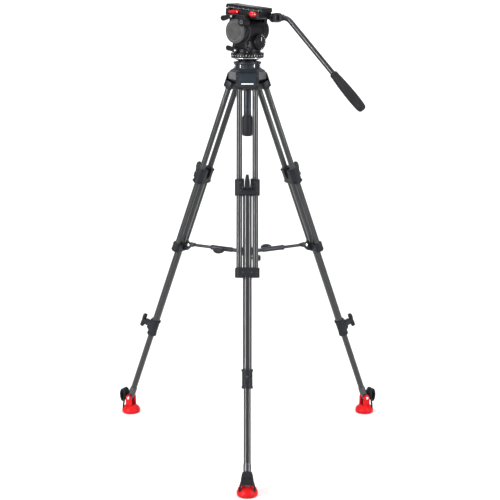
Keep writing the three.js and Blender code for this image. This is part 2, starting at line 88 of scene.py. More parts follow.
def local_frame(x, y, z, origin):
    """The matrix that takes local millimetres to the part's frame, still in millimetres."""
    matrix = Matrix((x, y, z)).transposed().to_4x4()
    matrix.translation = Vector(origin) / MM
    return matrix


def leg_frame(leg):
    hinge = joint(f"{leg}_leg_spread")
    y = -Vector(hinge["axis"])
    z = -Vector(joint(f"{leg}_middle_slide")["axis"])
    return local_frame(y.cross(z), y, z, hinge["pos_m"])


def upright_frame(leg, pivot):
    y = -Vector(joint(f"{leg}_leg_spread")["axis"])
    z = Vector((0, 0, 1))
    return local_frame(y.cross(z), y, z, joint(pivot)["pos_m"])


def head_frame():
    y = Vector(joint("tilt")["axis"])
    z = Vector((0, 0, 1))
    pan = joint("pan")["pos_m"]
    return local_frame(y.cross(z), y, z, (pan[0], pan[1], 0))


def platform_frame():
    """The head frame turned about the tilt axis as far as the platform leans."""
    x = Vector(joint("camera_plate_slide")["axis"])
    y = Vector(joint("tilt")["axis"])
    z = x.cross(y)
    return local_frame(x, y, z, Vector(joint("tilt")["pos_m"]) - z * TILT_HEIGHT * MM)


def crown_frame():
    pan = joint("pan")["pos_m"]
    return Matrix.Translation(Vector((pan[0], pan[1], 0)) / MM)


# ---------------------------------------------------------------- shapes

def finished(bm):
    bmesh.ops.recalc_face_normals(bm, faces=bm.faces)
    mesh = bpy.data.meshes.new("shape")
    bm.to_mesh(mesh)
    bm.free()
    return mesh


def turn_axis(point, along):
    a, b, h = point
    return {"x": (h, a, b), "y": (b, h, a), "z": (a, b, h)}[along]


def lathe(profile, sides=48, oval=(1.0, 1.0), along="z", at=(0, 0, 0)):
    """A turned shape from (radius, height) points that start and end on the axis, or close on themselves."""
    bm = bmesh.new()
    uv = bm.loops.layers.uv.new("surface")
    rings = []
    for radius, height in profile:
        steps = sides if radius else 1
        ring = []
        for i in range(steps):
            angle = 2 * math.pi * i / sides
            point = (radius * oval[0] * math.cos(angle), radius * oval[1] * math.sin(angle), height)
            ring.append(bm.verts.new(Vector(turn_axis(point, along)) + Vector(at)))
        rings.append(ring)
    widest = max(radius * max(oval) for radius, _ in profile)
    pairs = [(n, n + 1) for n in range(len(rings) - 1)]
    if profile[0][0]:
        pairs.append((len(rings) - 1, 0))
    for low, high in pairs:
        for i in range(sides):
            corners = [(low, i), (low, i + 1), (high, i + 1), (high, i)]
            if len(rings[low]) == 1:
                corners = corners[1:]
            elif len(rings[high]) == 1:
                corners = corners[:3]
            face = bm.faces.new([rings[n][k % len(rings[n])] for n, k in corners])
            for loop, (n, k) in zip(face.loops, corners):
                loop[uv].uv = (2 * math.pi * widest * k / sides, profile[n][1])
    return finished(bm)


def rod(radius, span, along="z", at=(0, 0, 0), edge=0.6, sides=40, oval=(1.0, 1.0)):
    low, high = span
    turn = [(math.sin(a) * edge, (1 - math.cos(a)) * edge) for a in (0, math.pi / 4, math.pi / 2)]
    profile = [(0, low)]
    profile += [(radius - edge + x, low + y) for x, y in turn]
    profile += [(radius - edge + x, high - y) for x, y in reversed(turn)]
    profile.append((0, high))
    return lathe(profile, sides, oval, along, at)


def pipe(outer, inner, span, sides=48, oval=(1.0, 1.0), at=(0, 0, 0), along="z"):
    low, high = span
    edge = min(0.4, (outer - inner) / 3)
    profile = [
        (inner + edge, low), (outer - edge, low), (outer, low + edge), (outer, high - edge),
        (outer - edge, high), (inner + edge, high), (inner, high - edge), (inner, low + edge),
    ]
    return lathe(profile, sides, oval, along, at)


def block(x, y, z, edge=1.0):
    bm = bmesh.new()
    size = Matrix.Diagonal((x[1] - x[0], y[1] - y[0], z[1] - z[0], 1))
    middle = Matrix.Translation(((x[0] + x[1]) / 2, (y[0] + y[1]) / 2, (z[0] + z[1]) / 2))
    bmesh.ops.create_cube(bm, size=1, matrix=middle @ size)
    bmesh.ops.bevel(bm, geom=bm.edges[:], offset=edge, segments=3, profile=0.5, affect="EDGES")
    return finished(bm)


def outline_point(p, h, along):
    return {"x": (h, p[0], p[1]), "y": (p[0], h, p[1]), "z": (p[0], p[1], h)}[along]


def extrude(outline, span, along="y", edge=0.8):
    """A flat outline made thick along one axis, its rims rounded."""
    bm = bmesh.new()
    low = [bm.verts.new(outline_point(p, span[0], along)) for p in outline]
    high = [bm.verts.new(outline_point(p, span[1], along)) for p in outline]
    caps = [bm.faces.new(low), bm.faces.new(high)]
    for i in range(len(outline)):
        k = (i + 1) % len(outline)
        bm.faces.new((low[i], low[k], high[k], high[i]))
    bmesh.ops.recalc_face_normals(bm, faces=bm.faces)
    if edge:
        rims = [e for cap in caps for e in cap.edges]
        bmesh.ops.bevel(bm, geom=rims, offset=edge, segments=2, profile=0.5, affect="EDGES",
                        clamp_overlap=True)
    return finished(bm)


def rounded(x, y, corner, steps=5):
    """The outline of a rectangle with round corners."""
    points = []
    centres = [(x[1] - corner, y[1] - corner), (x[0] + corner, y[1] - corner)]
    centres += [(x[0] + corner, y[0] + corner), (x[1] - corner, y[0] + corner)]
    for quarter, (cx, cy) in enumerate(centres):
        for i in range(steps + 1):
            angle = math.pi / 2 * (quarter + i / steps)
            points.append((cx + corner * math.cos(angle), cy + corner * math.sin(angle)))
    return points


def polish(points, corner, steps=4):
    """An outline with each corner turned into a short curve."""
    smooth = []
    for i, p in enumerate(points):
        here = Vector(p)
        before = Vector(points[i - 1]) - here
        after = Vector(points[(i + 1) % len(points)]) - here
        reach = min(corner, before.length * 0.45, after.length * 0.45)
        a = here + before.normalized() * reach
        b = here + after.normalized() * reach
        for n in range(steps + 1):
            t = n / steps
            smooth.append(tuple(a * (1 - t) ** 2 + here * 2 * t * (1 - t) + b * t ** 2))
    return smooth


def band(path, widths, thickness):
    """A flat strap in a closed loop along points in the x-z plane, with a width along y at each point."""
    bm = bmesh.new()
    rings = []
    count = len(path)
    edge = thickness * 0.3
    for i, p in enumerate(path):
        tangent = (Vector(path[(i + 1) % count]) - Vector(path[i - 1])).normalized()
        normal = Vector((tangent.y, -tangent.x))
        half = widths[i] / 2
        ring = []
        corners = [(half, thickness / 2 - edge), (half - edge, thickness / 2)]
        corners += [(-w, t) for w, t in reversed(corners)]
        corners += [(-w, -t) for w, t in corners]
        for across, out in corners:
            spot = Vector(p) + normal * out
            ring.append(bm.verts.new((spot.x, across, spot.y)))
        rings.append(ring)
    for i in range(count):
        k = (i + 1) % count
        for n in range(8):
            m = (n + 1) % 8
            bm.faces.new((rings[i][n], rings[i][m], rings[k][m], rings[k][n]))
    return finished(bm)


def hose(path, radii, y, sides=40):
    """A round bar along points in the x-z plane at a fixed y, with a radius at each point."""
    bm = bmesh.new()
    rings = []
    for i, p in enumerate(path):
        ahead = Vector(path[min(i + 1, len(path) - 1)])
        behind = Vector(path[max(i - 1, 0)])
        tangent = (ahead - behind).normalized()
        normal = Vector((-tangent.y, tangent.x))
        ring = []
        for n in range(sides):
            angle = 2 * math.pi * n / sides
            spot = Vector(p) + normal * radii[i] * math.cos(angle)
            ring.append(bm.verts.new((spot.x, y + radii[i] * math.sin(angle), spot.y)))
        rings.append(ring)
    for i in range(len(rings) - 1):
        for n in range(sides):
            m = (n + 1) % sides
            bm.faces.new((rings[i][n], rings[i][m], rings[i + 1][m], rings[i + 1][n]))
    bm.faces.new(rings[0])
    bm.faces.new(list(reversed(rings[-1])))
    return finished(bm)


def combine(base, others, operation):
    """Joins or cuts closed meshes with stacked booleans and returns the finished mesh."""
    host = bpy.data.objects.new("host", base)
    bpy.context.scene.collection.objects.link(host)
    helpers = [host]
    for other in others:
        helper = bpy.data.objects.new("helper", other)
        bpy.context.scene.collection.objects.link(helper)
        helpers.append(helper)
        modifier = host.modifiers.new("combine", "BOOLEAN")
        modifier.operation = operation
        modifier.solver = "MANIFOLD"
        modifier.object = helper
    bpy.context.view_layer.update()
    graph = bpy.context.evaluated_depsgraph_get()
    result = bpy.data.meshes.new_from_object(host.evaluated_get(graph))
    for helper in helpers:
        bpy.data.objects.remove(helper)
    return result


def unite(base, *others):
    return combine(base, others, "UNION")


def carve(base, *cutters):
    return combine(base, cutters, "DIFFERENCE")


def turned(mesh, angle, axis="Z", about=(0, 0, 0)):
    move = Matrix.Translation(about)
    mesh.transform(move @ Matrix.Rotation(angle, 4, axis) @ move.inverted())
    return mesh


def gathered(*meshes):
    """Several separate closed shapes as one mesh."""
    bm = bmesh.new()
    for mesh in meshes:
        bm.from_mesh(mesh)
    mesh = bpy.data.meshes.new("shape")
    bm.to_mesh(mesh)
    bm.free()
    return mesh


def place(name, mesh, matrix, body, material, stands_for=()):
    """Puts a shape into the scene as a piece that rides on a body."""
    mesh.transform(Matrix.Scale(MM, 4) @ matrix)
    mesh.name = name
    mesh.polygons.foreach_set("use_smooth", [True] * len(mesh.polygons))
    mesh.set_sharp_from_angle(angle=math.radians(34))
    mesh.materials.clear()
    mesh.materials.append(material)
    obj = bpy.data.objects.new(name, mesh)
    bpy.context.scene.collection.objects.link(obj)
    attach(obj, body)
    if stands_for:
        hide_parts(*stands_for)
    return obj


# ---------------------------------------------------------------- materials

class Shader:
    """A small builder around one Principled material."""

    def __init__(self, name, slot, **sockets):
        self.material = bpy.data.materials.new(name)
        self.material.use_nodes = True
        self.material["slot"] = slot
        self.nodes = self.material.node_tree.nodes
        self.links = self.material.node_tree.links
        self.bsdf = self.nodes["Principled BSDF"]
        for socket, value in sockets.items():
            self.bsdf.inputs[socket.replace("_", " ")].default_value = value
        self.place = self.nodes.new("ShaderNodeTexCoord").outputs["Object"]

    def math(self, operation, a, b=0.0):
        node = self.nodes.new("ShaderNodeMath")
        node.operation = operation
        for socket, value in zip(node.inputs, (a, b)):
            if isinstance(value, (int, float)):
                socket.default_value = value
            else:
                self.links.new(value, socket)
        return node.outputs[0]

    def noise(self, scale, detail=2.0, rough=0.5):
        node = self.nodes.new("ShaderNodeTexNoise")
        node.inputs["Scale"].default_value = scale
        node.inputs["Detail"].default_value = detail
        node.inputs["Roughness"].default_value = rough
        self.links.new(self.place, node.inputs["Vector"])
        return node.outputs["Fac"]

    def cells(self, scale):
        node = self.nodes.new("ShaderNodeTexVoronoi")
        node.inputs["Scale"].default_value = scale
        self.links.new(self.place, node.inputs["Vector"])
        return node.outputs["Distance"]

    def blend(self, factor, low, high, socket="Base Color"):
        """Mixes two colours, or two numbers, by a factor and feeds them to a socket of the shader."""
        node = self.nodes.new("ShaderNodeMapRange")
        if isinstance(low, tuple):
            node.data_type = "FLOAT_VECTOR"
            self.links.new(factor, node.inputs[6])
            node.inputs[9].default_value = low
            node.inputs[10].default_value = high
            self.links.new(node.outputs[1], self.bsdf.inputs[socket])
        else:
            self.links.new(factor, node.inputs["Value"])
            node.inputs["To Min"].default_value = low
            node.inputs["To Max"].default_value = high
            self.links.new(node.outputs[0], self.bsdf.inputs[socket])

    def bump(self, height, distance, strength=1.0):
        node = self.nodes.new("ShaderNodeBump")
        node.inputs["Distance"].default_value = distance
        node.inputs["Strength"].default_value = strength
        self.links.new(height, node.inputs["Height"])
        self.links.new(node.outputs[0], self.bsdf.inputs["Normal"])


def surface(name, slot, dark, light, rough, grain, depth, metal=0.0, **sockets):
    """Painted, moulded or machined stuff: slow colour variation, fine grain bump and uneven gloss."""
    shader = Shader(name, slot, Metallic=metal, **sockets)
    shader.bsdf.inputs["Specular IOR Level"].default_value = 0.14
    shader.blend(shader.noise(60.0, 4.0), dark, light)
    shader.blend(shader.noise(240.0, 3.0), rough[0], rough[1], "Roughness")
    pits = shader.math("MULTIPLY", shader.cells(grain * 0.6), 0.5)
    fine = shader.math("ADD", shader.noise(grain, 3.0, 0.6), pits)
    shader.bump(fine, depth, 0.6)
    return shader.material


def carbon_weave():
    """Twill-woven carbon under clear coat: tows two over and two under, run by the tube's own surface map.
    Its base colour holds painted sheen, lighter on the tows that lie over, and painted shade, darker towards
    the valleys between tows.
    """
    tow = 2.4
    shader = Shader("carbon_weave", "carbon_tube", Coat_Weight=0.7, Coat_Roughness=0.12, Roughness=0.4,
                    Specular_IOR_Level=0.14)
    uv = shader.nodes.new("ShaderNodeUVMap")
    uv.uv_map = "surface"
    split = shader.nodes.new("ShaderNodeSeparateXYZ")
    shader.links.new(uv.outputs[0], split.inputs[0])
    u = shader.math("DIVIDE", split.outputs[0], tow)
    v = shader.math("DIVIDE", split.outputs[1], tow)
    step = shader.math("ADD", shader.math("FLOOR", u), shader.math("FLOOR", v))
    over = shader.math("LESS_THAN", shader.math("FLOORED_MODULO", step, 4.0), 2.0)
    crown_u = shader.math("ABSOLUTE", shader.math("SUBTRACT", shader.math("FRACT", u), 0.5))
    crown_v = shader.math("ABSOLUTE", shader.math("SUBTRACT", shader.math("FRACT", v), 0.5))
    along = shader.math("MULTIPLY", crown_u, over)
    across = shader.math("MULTIPLY", crown_v, shader.math("SUBTRACT", 1.0, over))
    valley = shader.math("ADD", along, across)
    # painted sheen and shade: tows lying over are lighter and tow edges darker towards the valleys, in place
    # of the weave's own glints and groove shade
    painted_sheen_tone = shader.math("SUBTRACT", shader.math("ADD", shader.math("MULTIPLY", over, 0.45), 0.5), valley)
    shader.blend(painted_sheen_tone, (0.003, 0.003, 0.004), (0.026, 0.027, 0.030))
    shader.bump(shader.math("SUBTRACT", 0.5, valley), 0.00012, 0.5)
    return shader.material


carbon = carbon_weave()
plastic = surface("moulded_black", "clamp_plastic", (0.007, 0.007, 0.009), (0.016, 0.017, 0.021),
                  (0.38, 0.56), 1500.0, 0.00010)
satin_arm = surface("satin_arm", "clamp_plastic", (0.020, 0.020, 0.023), (0.034, 0.035, 0.039),
                    (0.28, 0.40), 1500.0, 0.00006, metal=0.3)
casting_black = surface("casting_black", "crown_metal", (0.010, 0.010, 0.012), (0.020, 0.021, 0.025),
                        (0.30, 0.45), 1100.0, 0.00010, metal=0.2)
casting = surface("crown_paint", "crown_metal", (0.013, 0.016, 0.021), (0.024, 0.030, 0.038),
                  (0.36, 0.50), 1100.0, 0.00014, metal=0.25)
bowl_metal = surface("bowl_metal", "crown_metal", (0.020, 0.022, 0.027), (0.042, 0.045, 0.055),
                     (0.22, 0.38), 900.0, 0.00006, metal=0.7)
pale_plate = surface("pale_plate", "side_grey", (0.085, 0.085, 0.09), (0.14, 0.14, 0.145),
                     (0.35, 0.5), 1200.0, 0.00008, metal=0.35)
black = surface("satin_black", "head_black", (0.005, 0.005, 0.006), (0.013, 0.013, 0.016),
                (0.26, 0.42), 1400.0, 0.00007, metal=0.1)
disc_grey = surface("textured_grey", "side_grey", (0.022, 0.022, 0.022), (0.075, 0.075, 0.075),
                    (0.42, 0.6), 480.0, 0.00035)
foot_rubber = surface("red_rubber", "foot_red", (0.38, 0.002, 0.004), (0.54, 0.005, 0.008),
                      (0.36, 0.52), 800.0, 0.00012)
button_red = surface("red_gloss", "button_red", (0.40, 0.002, 0.006), (0.56, 0.006, 0.014),
                     (0.18, 0.28), 600.0, 0.00003, Coat_Weight=0.5)
steel = surface("bright_steel", "bright_steel", (0.55, 0.55, 0.57), (0.72, 0.72, 0.74),
                (0.18, 0.34), 1300.0, 0.00003, metal=1.0)
dark_metal = surface("dark_metal", "bright_steel", (0.055, 0.057, 0.062), (0.095, 0.097, 0.105),
                     (0.26, 0.38), 1300.0, 0.00003, metal=0.8)
black_rubber = surface("black_rubber", "grip_rubber", (0.006, 0.006, 0.007), (0.015, 0.015, 0.017),
                       (0.5, 0.7), 700.0, 0.00016)
bar_metal = surface("bar_metal", "carbon_tube", (0.030, 0.030, 0.032), (0.050, 0.050, 0.053),
                    (0.20, 0.28), 1400.0, 0.00002, metal=0.8)
white_mark = surface("white_print", "side_grey", (0.72, 0.72, 0.72), (0.85, 0.85, 0.85),
                     (0.4, 0.5), 900.0, 0.00002)
bubble_glass = surface("bubble_fluid", "side_grey", (0.55, 0.62, 0.42), (0.70, 0.76, 0.55),
                       (0.08, 0.14), 300.0, 0.00001, Coat_Weight=1.0)


# ---------------------------------------------------------------- legs

def down(top, bottom):
    return (-bottom, -top)


def hinge_block(leg, matrix):
    body = extrude(rounded((-14, 11.6), (-36, 36), 5), down(14, 36), "z", 1.0)
    web = block((-9, 9), (-17, 17), (-15, 0))
    knuckle = rod(10.5, (-17, 17), "y")
    face = extrude(polish([(11, -36), (14, -32.5), (14, 8), (11, 15)], 1.4), (-36, 36), "y", 1.0)
    shape = unite(body, web, knuckle, face)
    sockets = [rod(9.2, (-40, -16.6), at=(0, y, 0), edge=0.1) for y in TUBE_SIDES]
    bore = rod(4.3, (-40, 40), "y", edge=0.1)
    place(f"hinge_cover_{leg}", carve(shape, bore, *sockets), matrix, f"{leg}_leg", casting_black,
          [f"hinge_block_{leg}"])
    panel = unite(extrude(rounded((-26.5, 26.5), (-33, 8), 3), (13.6, 15.2), "x", 0.6),
                  extrude(rounded((-23, 23), (-15, 5), 2), (14.6, 15.7), "x", 0.4))
    place(f"hinge_panel_{leg}", panel, matrix, f"{leg}_leg", casting)
    heads = [rod(2.4, (13.6, 14.7), "x", (0, y, z), 0.4, 24) for y in (-31.5, 31.5) for z in (-26, 2)]
    place(f"hinge_screws_{leg}", gathered(*heads), matrix, f"{leg}_leg", dark_metal)


def plain_stripe(matrix):
    stripe = extrude(rounded((-19, 19), (-25, -22.2), 1.1), (15.1, 15.5), "x", 0.1)
    place("hinge_stripe_front", stripe, matrix, "front_leg", white_mark)


def upper_tubes(leg, matrix):
    span = down(UPPER_TUBE["top"], UPPER_TUBE["bottom"])
    for side, y in zip(("left", "right"), TUBE_SIDES):
        tube = pipe(UPPER_TUBE["radius"], 7.5, span, at=(0, y, 0))
        place(f"carbon_upper_{side}_{leg}", tube, matrix, f"{leg}_leg", carbon, [f"upper_tube_{side}_{leg}"])
    rings = [pipe(10.6, 9.1, (-40, -36.2), at=(0, y, 0)) for y in TUBE_SIDES]
    place(f"tube_rings_{leg}", gathered(*rings), matrix, f"{leg}_leg", plastic)


def base_collar(leg, matrix):
    span = down(594, 624)
    barrels = [rod(13, span, at=(0, y, 0), edge=1.6) for y in TUBE_SIDES]
    bridge = extrude(rounded((-15, 15), (-30, 30), 4), span, "z", 1.4)
    bracket = [(-13, -594), (-24, -590), (-27, -582), (-38.4, -583), (-38.4, -596), (-30, -612), (-13, -616)]
    arm = extrude(polish(bracket, 3), (-5, 5), "y", 0.9)
    tip = rod(7, (-5, 5), "y", EAR_PIVOT, 0.7)
    lip = extrude(rounded((-15.5, 15.5), (-37.4, 37.4), 13), down(598, 601), "z", 1.0)
    foot_lip = extrude(rounded((-15.5, 15.5), (-37.4, 37.4), 13), down(617, 620), "z", 1.0)
    guide = lathe([(0, -640), (1, -640), (1, -580), (0, -580)], 48, (12.3, 13.9))
    bore = rod(3, (-8, 8), "y", EAR_PIVOT, 0.1)
    tubes = [rod(9.2, down(580, 620.4), at=(0, y, 0), edge=0.1) for y in TUBE_SIDES]
    shape = carve(unite(bridge, *barrels, lip, foot_lip, arm, tip), guide, bore, *tubes)
    place(f"collar_shell_{leg}", shape, matrix, f"{leg}_leg", plastic, [f"base_collar_{leg}"])
    screws = [rod(2.4, (14.4, 15.5), "x", (0, y, -609), 0.4, 20) for y in (-13, 13)]
    place(f"collar_screws_{leg}", gathered(*screws), matrix, f"{leg}_leg", dark_metal)


def slide_clamp(leg, matrix):
    body = f"{leg}_middle_stage"
    span = down(321, 371)
    barrels = [rod(14, span, at=(1, y, 0), edge=1.5) for y in TUBE_SIDES]
    bridge = extrude(rounded((-16.5, 18.5), (-29, 29), 5), span, "z", 1.5)
    lips = [extrude(rounded((-17, 19), (-38.4, 38.4), 12), down(*s), "z", 1.0)
            for s in ((324, 328), (364, 368))]
    lugs = [extrude(polish([(16, -340), (24, -340), (29.4, -345), (29.4, -353), (24, -358), (16, -358)], 4),
                    (y - 2.4, y + 2.4), "y", 0.8) for y in (-11.1, 11.1)]
    notch = extrude(polish([(-9.5, -310), (9.5, -310), (9.5, -346), (5, -353), (-5, -353), (-9.5, -346)], 3),
                    (-20, 21), "x", 0)
    hold = lathe([(0, -375), (1, -375), (1, -349.6), (0, -349.6)], 48, (12.3, 13.9))
    tubes = [rod(9.25, down(310, 380), at=(0, y, 0), edge=0.1) for y in TUBE_SIDES]
    slot = block((19.2, 36), (-8.6, 8.6), down(338, 374), 0.3)
    shape = carve(unite(bridge, *barrels, *lips), notch, hold, *tubes)
    shape = carve(unite(shape, *lugs), slot)
    place(f"clamp_shell_{leg}", shape, matrix, body, plastic, [f"slide_clamp_{leg}"])
    spot = (0, 21.5, -351)
    boss = unite(rod(7.5, (18, 20.6), "x", spot, 0.9), rod(4.4, (18, 21.4), "x", spot, 0.5))
    place(f"clamp_boss_{leg}", boss, matrix, body, plastic)
    screws = [rod(2.2, (17.8, 19.2), "x", (0, y, z), 0.4, 20)
              for y, z in ((-21, -334), (-21, -358), (21, -333))]
    place(f"clamp_screws_{leg}", gathered(*screws), matrix, body, dark_metal)
    side = [(19, -353), (28.4, -352), (31, -340), (35, -326), (35.4, -316), (32, -311), (27, -312),
            (21, -322), (17.6, -334)]
    leaf = [(-6, -356), (6, -356), (8, -345), (8, -334), (5.6, -321), (4, -310), (-4, -310), (-5.6, -321),
            (-8, -334), (-8, -345)]
    front = extrude(polish(leaf, 5), (10, 40), "x", 0)
    blade = combine(extrude(polish(side, 4), (-8.2, 8.2), "y", 1.4), [front], "INTERSECT")
    blade = unite(blade, rod(5.2, (-8, 8), "y", LEVER_PIVOT, 0.8))
    place(f"lever_blade_{leg}", blade, matrix, f"{leg}_clamp_lever", plastic, [f"clamp_lever_{leg}"])
    pins = [rod(2.0, (y - 0.5, y + 0.5), "y", LEVER_PIVOT, 0.3, 20) for y in (-13.6, 13.6)]
    place(f"lever_pin_{leg}", gathered(*pins), matrix, body, steel)


def middle_tube(leg, matrix):
    span = down(MIDDLE_TUBE["top"], MIDDLE_TUBE["bottom"])
    oval = (1.0, MIDDLE_TUBE["half_y"] / MIDDLE_TUBE["half_x"])
    tube = pipe(MIDDLE_TUBE["half_x"], 10.5, span, 56, oval)
    place(f"carbon_middle_{leg}", tube, matrix, f"{leg}_middle_stage", carbon, [f"middle_tube_{leg}"])


def lower_clamp(leg, matrix):
    body = f"{leg}_middle_stage"
    oval = (1.0, 18 / 17)
    profile = [
        (0, -958), (15.2, -958), (16, -957), (16, -951), (15, -949.5), (15, -908), (17, -905.5),
        (17, -901), (16, -900), (0, -900),
    ]
    shell = lathe(profile, 56, oval)
    boss = rod(11.5, (6, 36), "x", (0, 0, -925), 1.0)
    rib = extrude(polish([(8, -905), (24, -911), (24, -940), (8, -953)], 4), (-6, 6), "y", 1.2)
    upper = lathe([(0, -940.4), (1, -940.4), (1, -898), (0, -898)], 48, (12.3, 13.9))
    lower = lathe([(0, -960), (1, -960), (1, -930), (0, -930)], 48, (10.3, 11.1))
    seam = block((-18, -8), (-0.7, 0.7), (-960, -898), 0.1)
    shape = carve(unite(shell, boss, rib), upper, lower, seam)
    place(f"lower_clamp_shell_{leg}", shape, matrix, body, plastic, [f"lower_clamp_{leg}"])
    bar = polish([(-7, -901), (7, -901), (9, -912), (6, -925), (9, -938), (7, -949), (-7, -949), (-9, -938),
                  (-6, -925), (-9, -912)], 5)
    knob = unite(extrude(bar, (40.5, 51), "x", 2.4), rod(8, (36.4, 45), "x", (0, 0, -925), 0.8))
    place(f"knob_grip_{leg}", knob, matrix, f"{leg}_clamp_knob", plastic, [f"clamp_knob_{leg}"])
    cap = rod(3.6, (50.2, 51.4), "x", (0, 0, -925), 0.4, 28)
    place(f"knob_cap_{leg}", cap, matrix, f"{leg}_clamp_knob", dark_metal)


def lower_tube(leg, matrix):
    body = f"{leg}_lower_stage"
    oval = (1.0, LOWER_TUBE["half_y"] / LOWER_TUBE["half_x"])
    tube = pipe(LOWER_TUBE["half_x"], 8.4, down(LOWER_TUBE["top"], LOWER_TUBE["bottom"]), 56, oval)
    place(f"carbon_lower_{leg}", tube, matrix, body, carbon, [f"lower_tube_{leg}"])
    profile = [(0, -1203), (10.5, -1203), (12, -1201), (12, -1184), (11.2, -1179), (10.9, -1178), (0, -1178)]
    ferrule = lathe(profile, 48)
    outline = [(-9, -1200), (9, -1200), (9, -1222), (2.2, -1240), (-2.2, -1240), (-9, -1222)]
    tongue = extrude(polish(outline, 2.5), (-7.4, 7.4), "y", 1.2)
    room = lathe([(0, -1190.3), (1, -1190.3), (1, -1170), (0, -1170)], 48, (10.05, 10.85))
    bore = rod(3.3, (-9, 9), "y", (0, 0, -FOOT_PIN_S), 0.1)
    place(f"spike_end_{leg}", carve(unite(ferrule, tongue), room, bore), matrix, body, dark_metal,
          [f"lower_tube_{leg}"])


def foot(leg):
    matrix = upright_frame(leg, f"{leg}_foot_tilt")
    body = f"{leg}_foot"
    h = -FOOT_PIN_HEIGHT
    profile = [
        (0, h), (8, h), (9, h + 1.5), (12, h + 1.5), (13, h), (19, h), (20, h + 1.5), (23, h + 1.5), (24, h),
        (28, h), (30.5, h + 2), (31.6, h + 5), (31.4, h + 11), (29.5, h + 15), (27.5, h + 18.5), (23, h + 23),
        (17, h + 27), (8, h + 28.8), (0, h + 29.2),
    ]
    pad = lathe(profile, 72)
    ears = []
    for y in (-12.5, 12.5):
        outline = [(-12, h + 15), (12, h + 15), (11, 0)]
        outline += [(11 * math.cos(a), 11 * math.sin(a)) for a in [math.pi * n / 12 for n in range(1, 12)]]
        outline.append((-11, 0))
        ears.append(extrude(outline, (y - 4.1, y + 4.1), "y", 1.6))
    slot = block((-40, 40), (-8.4, 8.4), (h + 27, 40), 0.5)
    lugs = [rod(5.5, (y - 3, y + 3), "y", (6, 0, h + 21), 1.2, 28) for y in (-25, 25)]
    place(f"foot_rubber_{leg}", carve(unite(pad, *ears, *lugs), slot), matrix, body, foot_rubber,
          [f"rubber_foot_{leg}"])
    pin = unite(rod(3, (-17.4, 17.4), "y", edge=0.5), rod(5, (-18.2, -16.2), "y", edge=0.6),
                rod(5, (16.2, 18.2), "y", edge=0.6))
    place(f"foot_pin_{leg}", pin, matrix, body, steel)
    strap(leg, matrix, body, h)


def strap(leg, matrix, body, floor):
    """The rubber pull strap: a wide band folded into an upright loop on the outer side of the foot."""
    loop = []
    widths = []
    steps = 40
    for n in range(steps):
        angle = 2 * math.pi * n / steps
        height = 62 + 20 * math.sin(angle)
        lean = 25.5 + (height - 62) * 0.08
        loop.append((lean + 9.5 * math.cos(angle) * (0.85 + 0.15 * math.sin(angle)), floor + height))
        widths.append(40 - 13 * ((height - 42) / 40) ** 1.6)
    ring = band(loop, widths, 4.2)
    holes = [rod(2.8, (0, 50), "x", (0, y, floor + 66), 0.2, 24) for y in (-8, 8)]
    legs = []
    for side in (-1, 1):
        points = [(side * 14, 49), (side * 20, 49), (side * 25, 30), (side * 25, 16), (side * 20, 16),
                  (side * 19, 30)]
        outline = polish([(y, floor + z) for y, z in points], 4)
        legs.append(extrude(outline, (14, 19), "x", 1.2))
    place(f"foot_strap_{leg}", unite(carve(ring, *holes), *legs), matrix, body, black_rubber)


def spreader_arm(leg):
    matrix = upright_frame(leg, f"{leg}_spreader_rod_pivot")
    rod_body, sleeve_body = f"{leg}_spreader_rod", f"{leg}_spreader_sleeve"
    fork = polish([(-18, -5.6), (-8, -6), (2, -6.8), (6.4, -3), (6.4, 3), (2, 6.8), (-8, 6), (-18, 5.6)], 3)
    yoke = carve(extrude(fork, (-9.4, 9.4), "y", 1.0), block((-10, 12), (-5.4, 5.4), (-9, 9), 0.3))
    arm = unite(rod(5, (-95, -14), "x", edge=0.6), yoke)
    place(f"arm_rod_{leg}", arm, matrix, rod_body, satin_arm, [f"spreader_rod_{leg}"])
    pin = unite(rod(2.6, (-10.6, 10.6), "y", edge=0.4), rod(4.4, (-11.2, -9.2), "y", edge=0.5),
                rod(4.4, (9.2, 11.2), "y", edge=0.5))
    place(f"arm_pin_{leg}", pin, matrix, rod_body, steel)
    eye_x = -(matrix.translation - crown_frame().translation).xy.length + HUB_EYE_RADIUS
    near, far = -84.4, eye_x + 30.8
    profile = [(5.4, far), (7.2, far), (8, far + 1), (8, near - 10), (8.6, near - 8), (8.6, near - 2),
               (7.8, near), (5.4, near)]
    sleeve = lathe(profile, 40, along="x")
    plug = rod(6.8, (far - 2, far + 2.6), "x", edge=0.6)
    neck = block((eye_x, far + 4), (-5.3, 5.3), (-5.4, 5.4), 1.2)
    spot = (eye_x, 0, 0)
    eye = carve(unite(rod(6.5, (-5.3, 5.3), "y", spot, 0.8), neck), rod(2.4, (-8, 8), "y", spot, 0.1))
    place(f"arm_sleeve_{leg}", unite(sleeve, plug, eye), matrix, sleeve_body, satin_arm,
          [f"spreader_sleeve_{leg}"])
    boss = unite(rod(7, (6, 12), "y", (WING_X, 0, 0), 0.8), rod(4.5, (6, 26), "y", (WING_X, 0, 0), 0.5))
    wing = lathe([(0, 24), (0.6, 24), (0.9, 25.5), (1, 29), (0.97, 38), (0.8, 41.2), (0.55, 42), (0, 42)], 48,
                 (9.5, 18.5), "y", (WING_X, 0, 0))
    place(f"arm_wing_knob_{leg}", unite(boss, wing), matrix, sleeve_body, plastic)


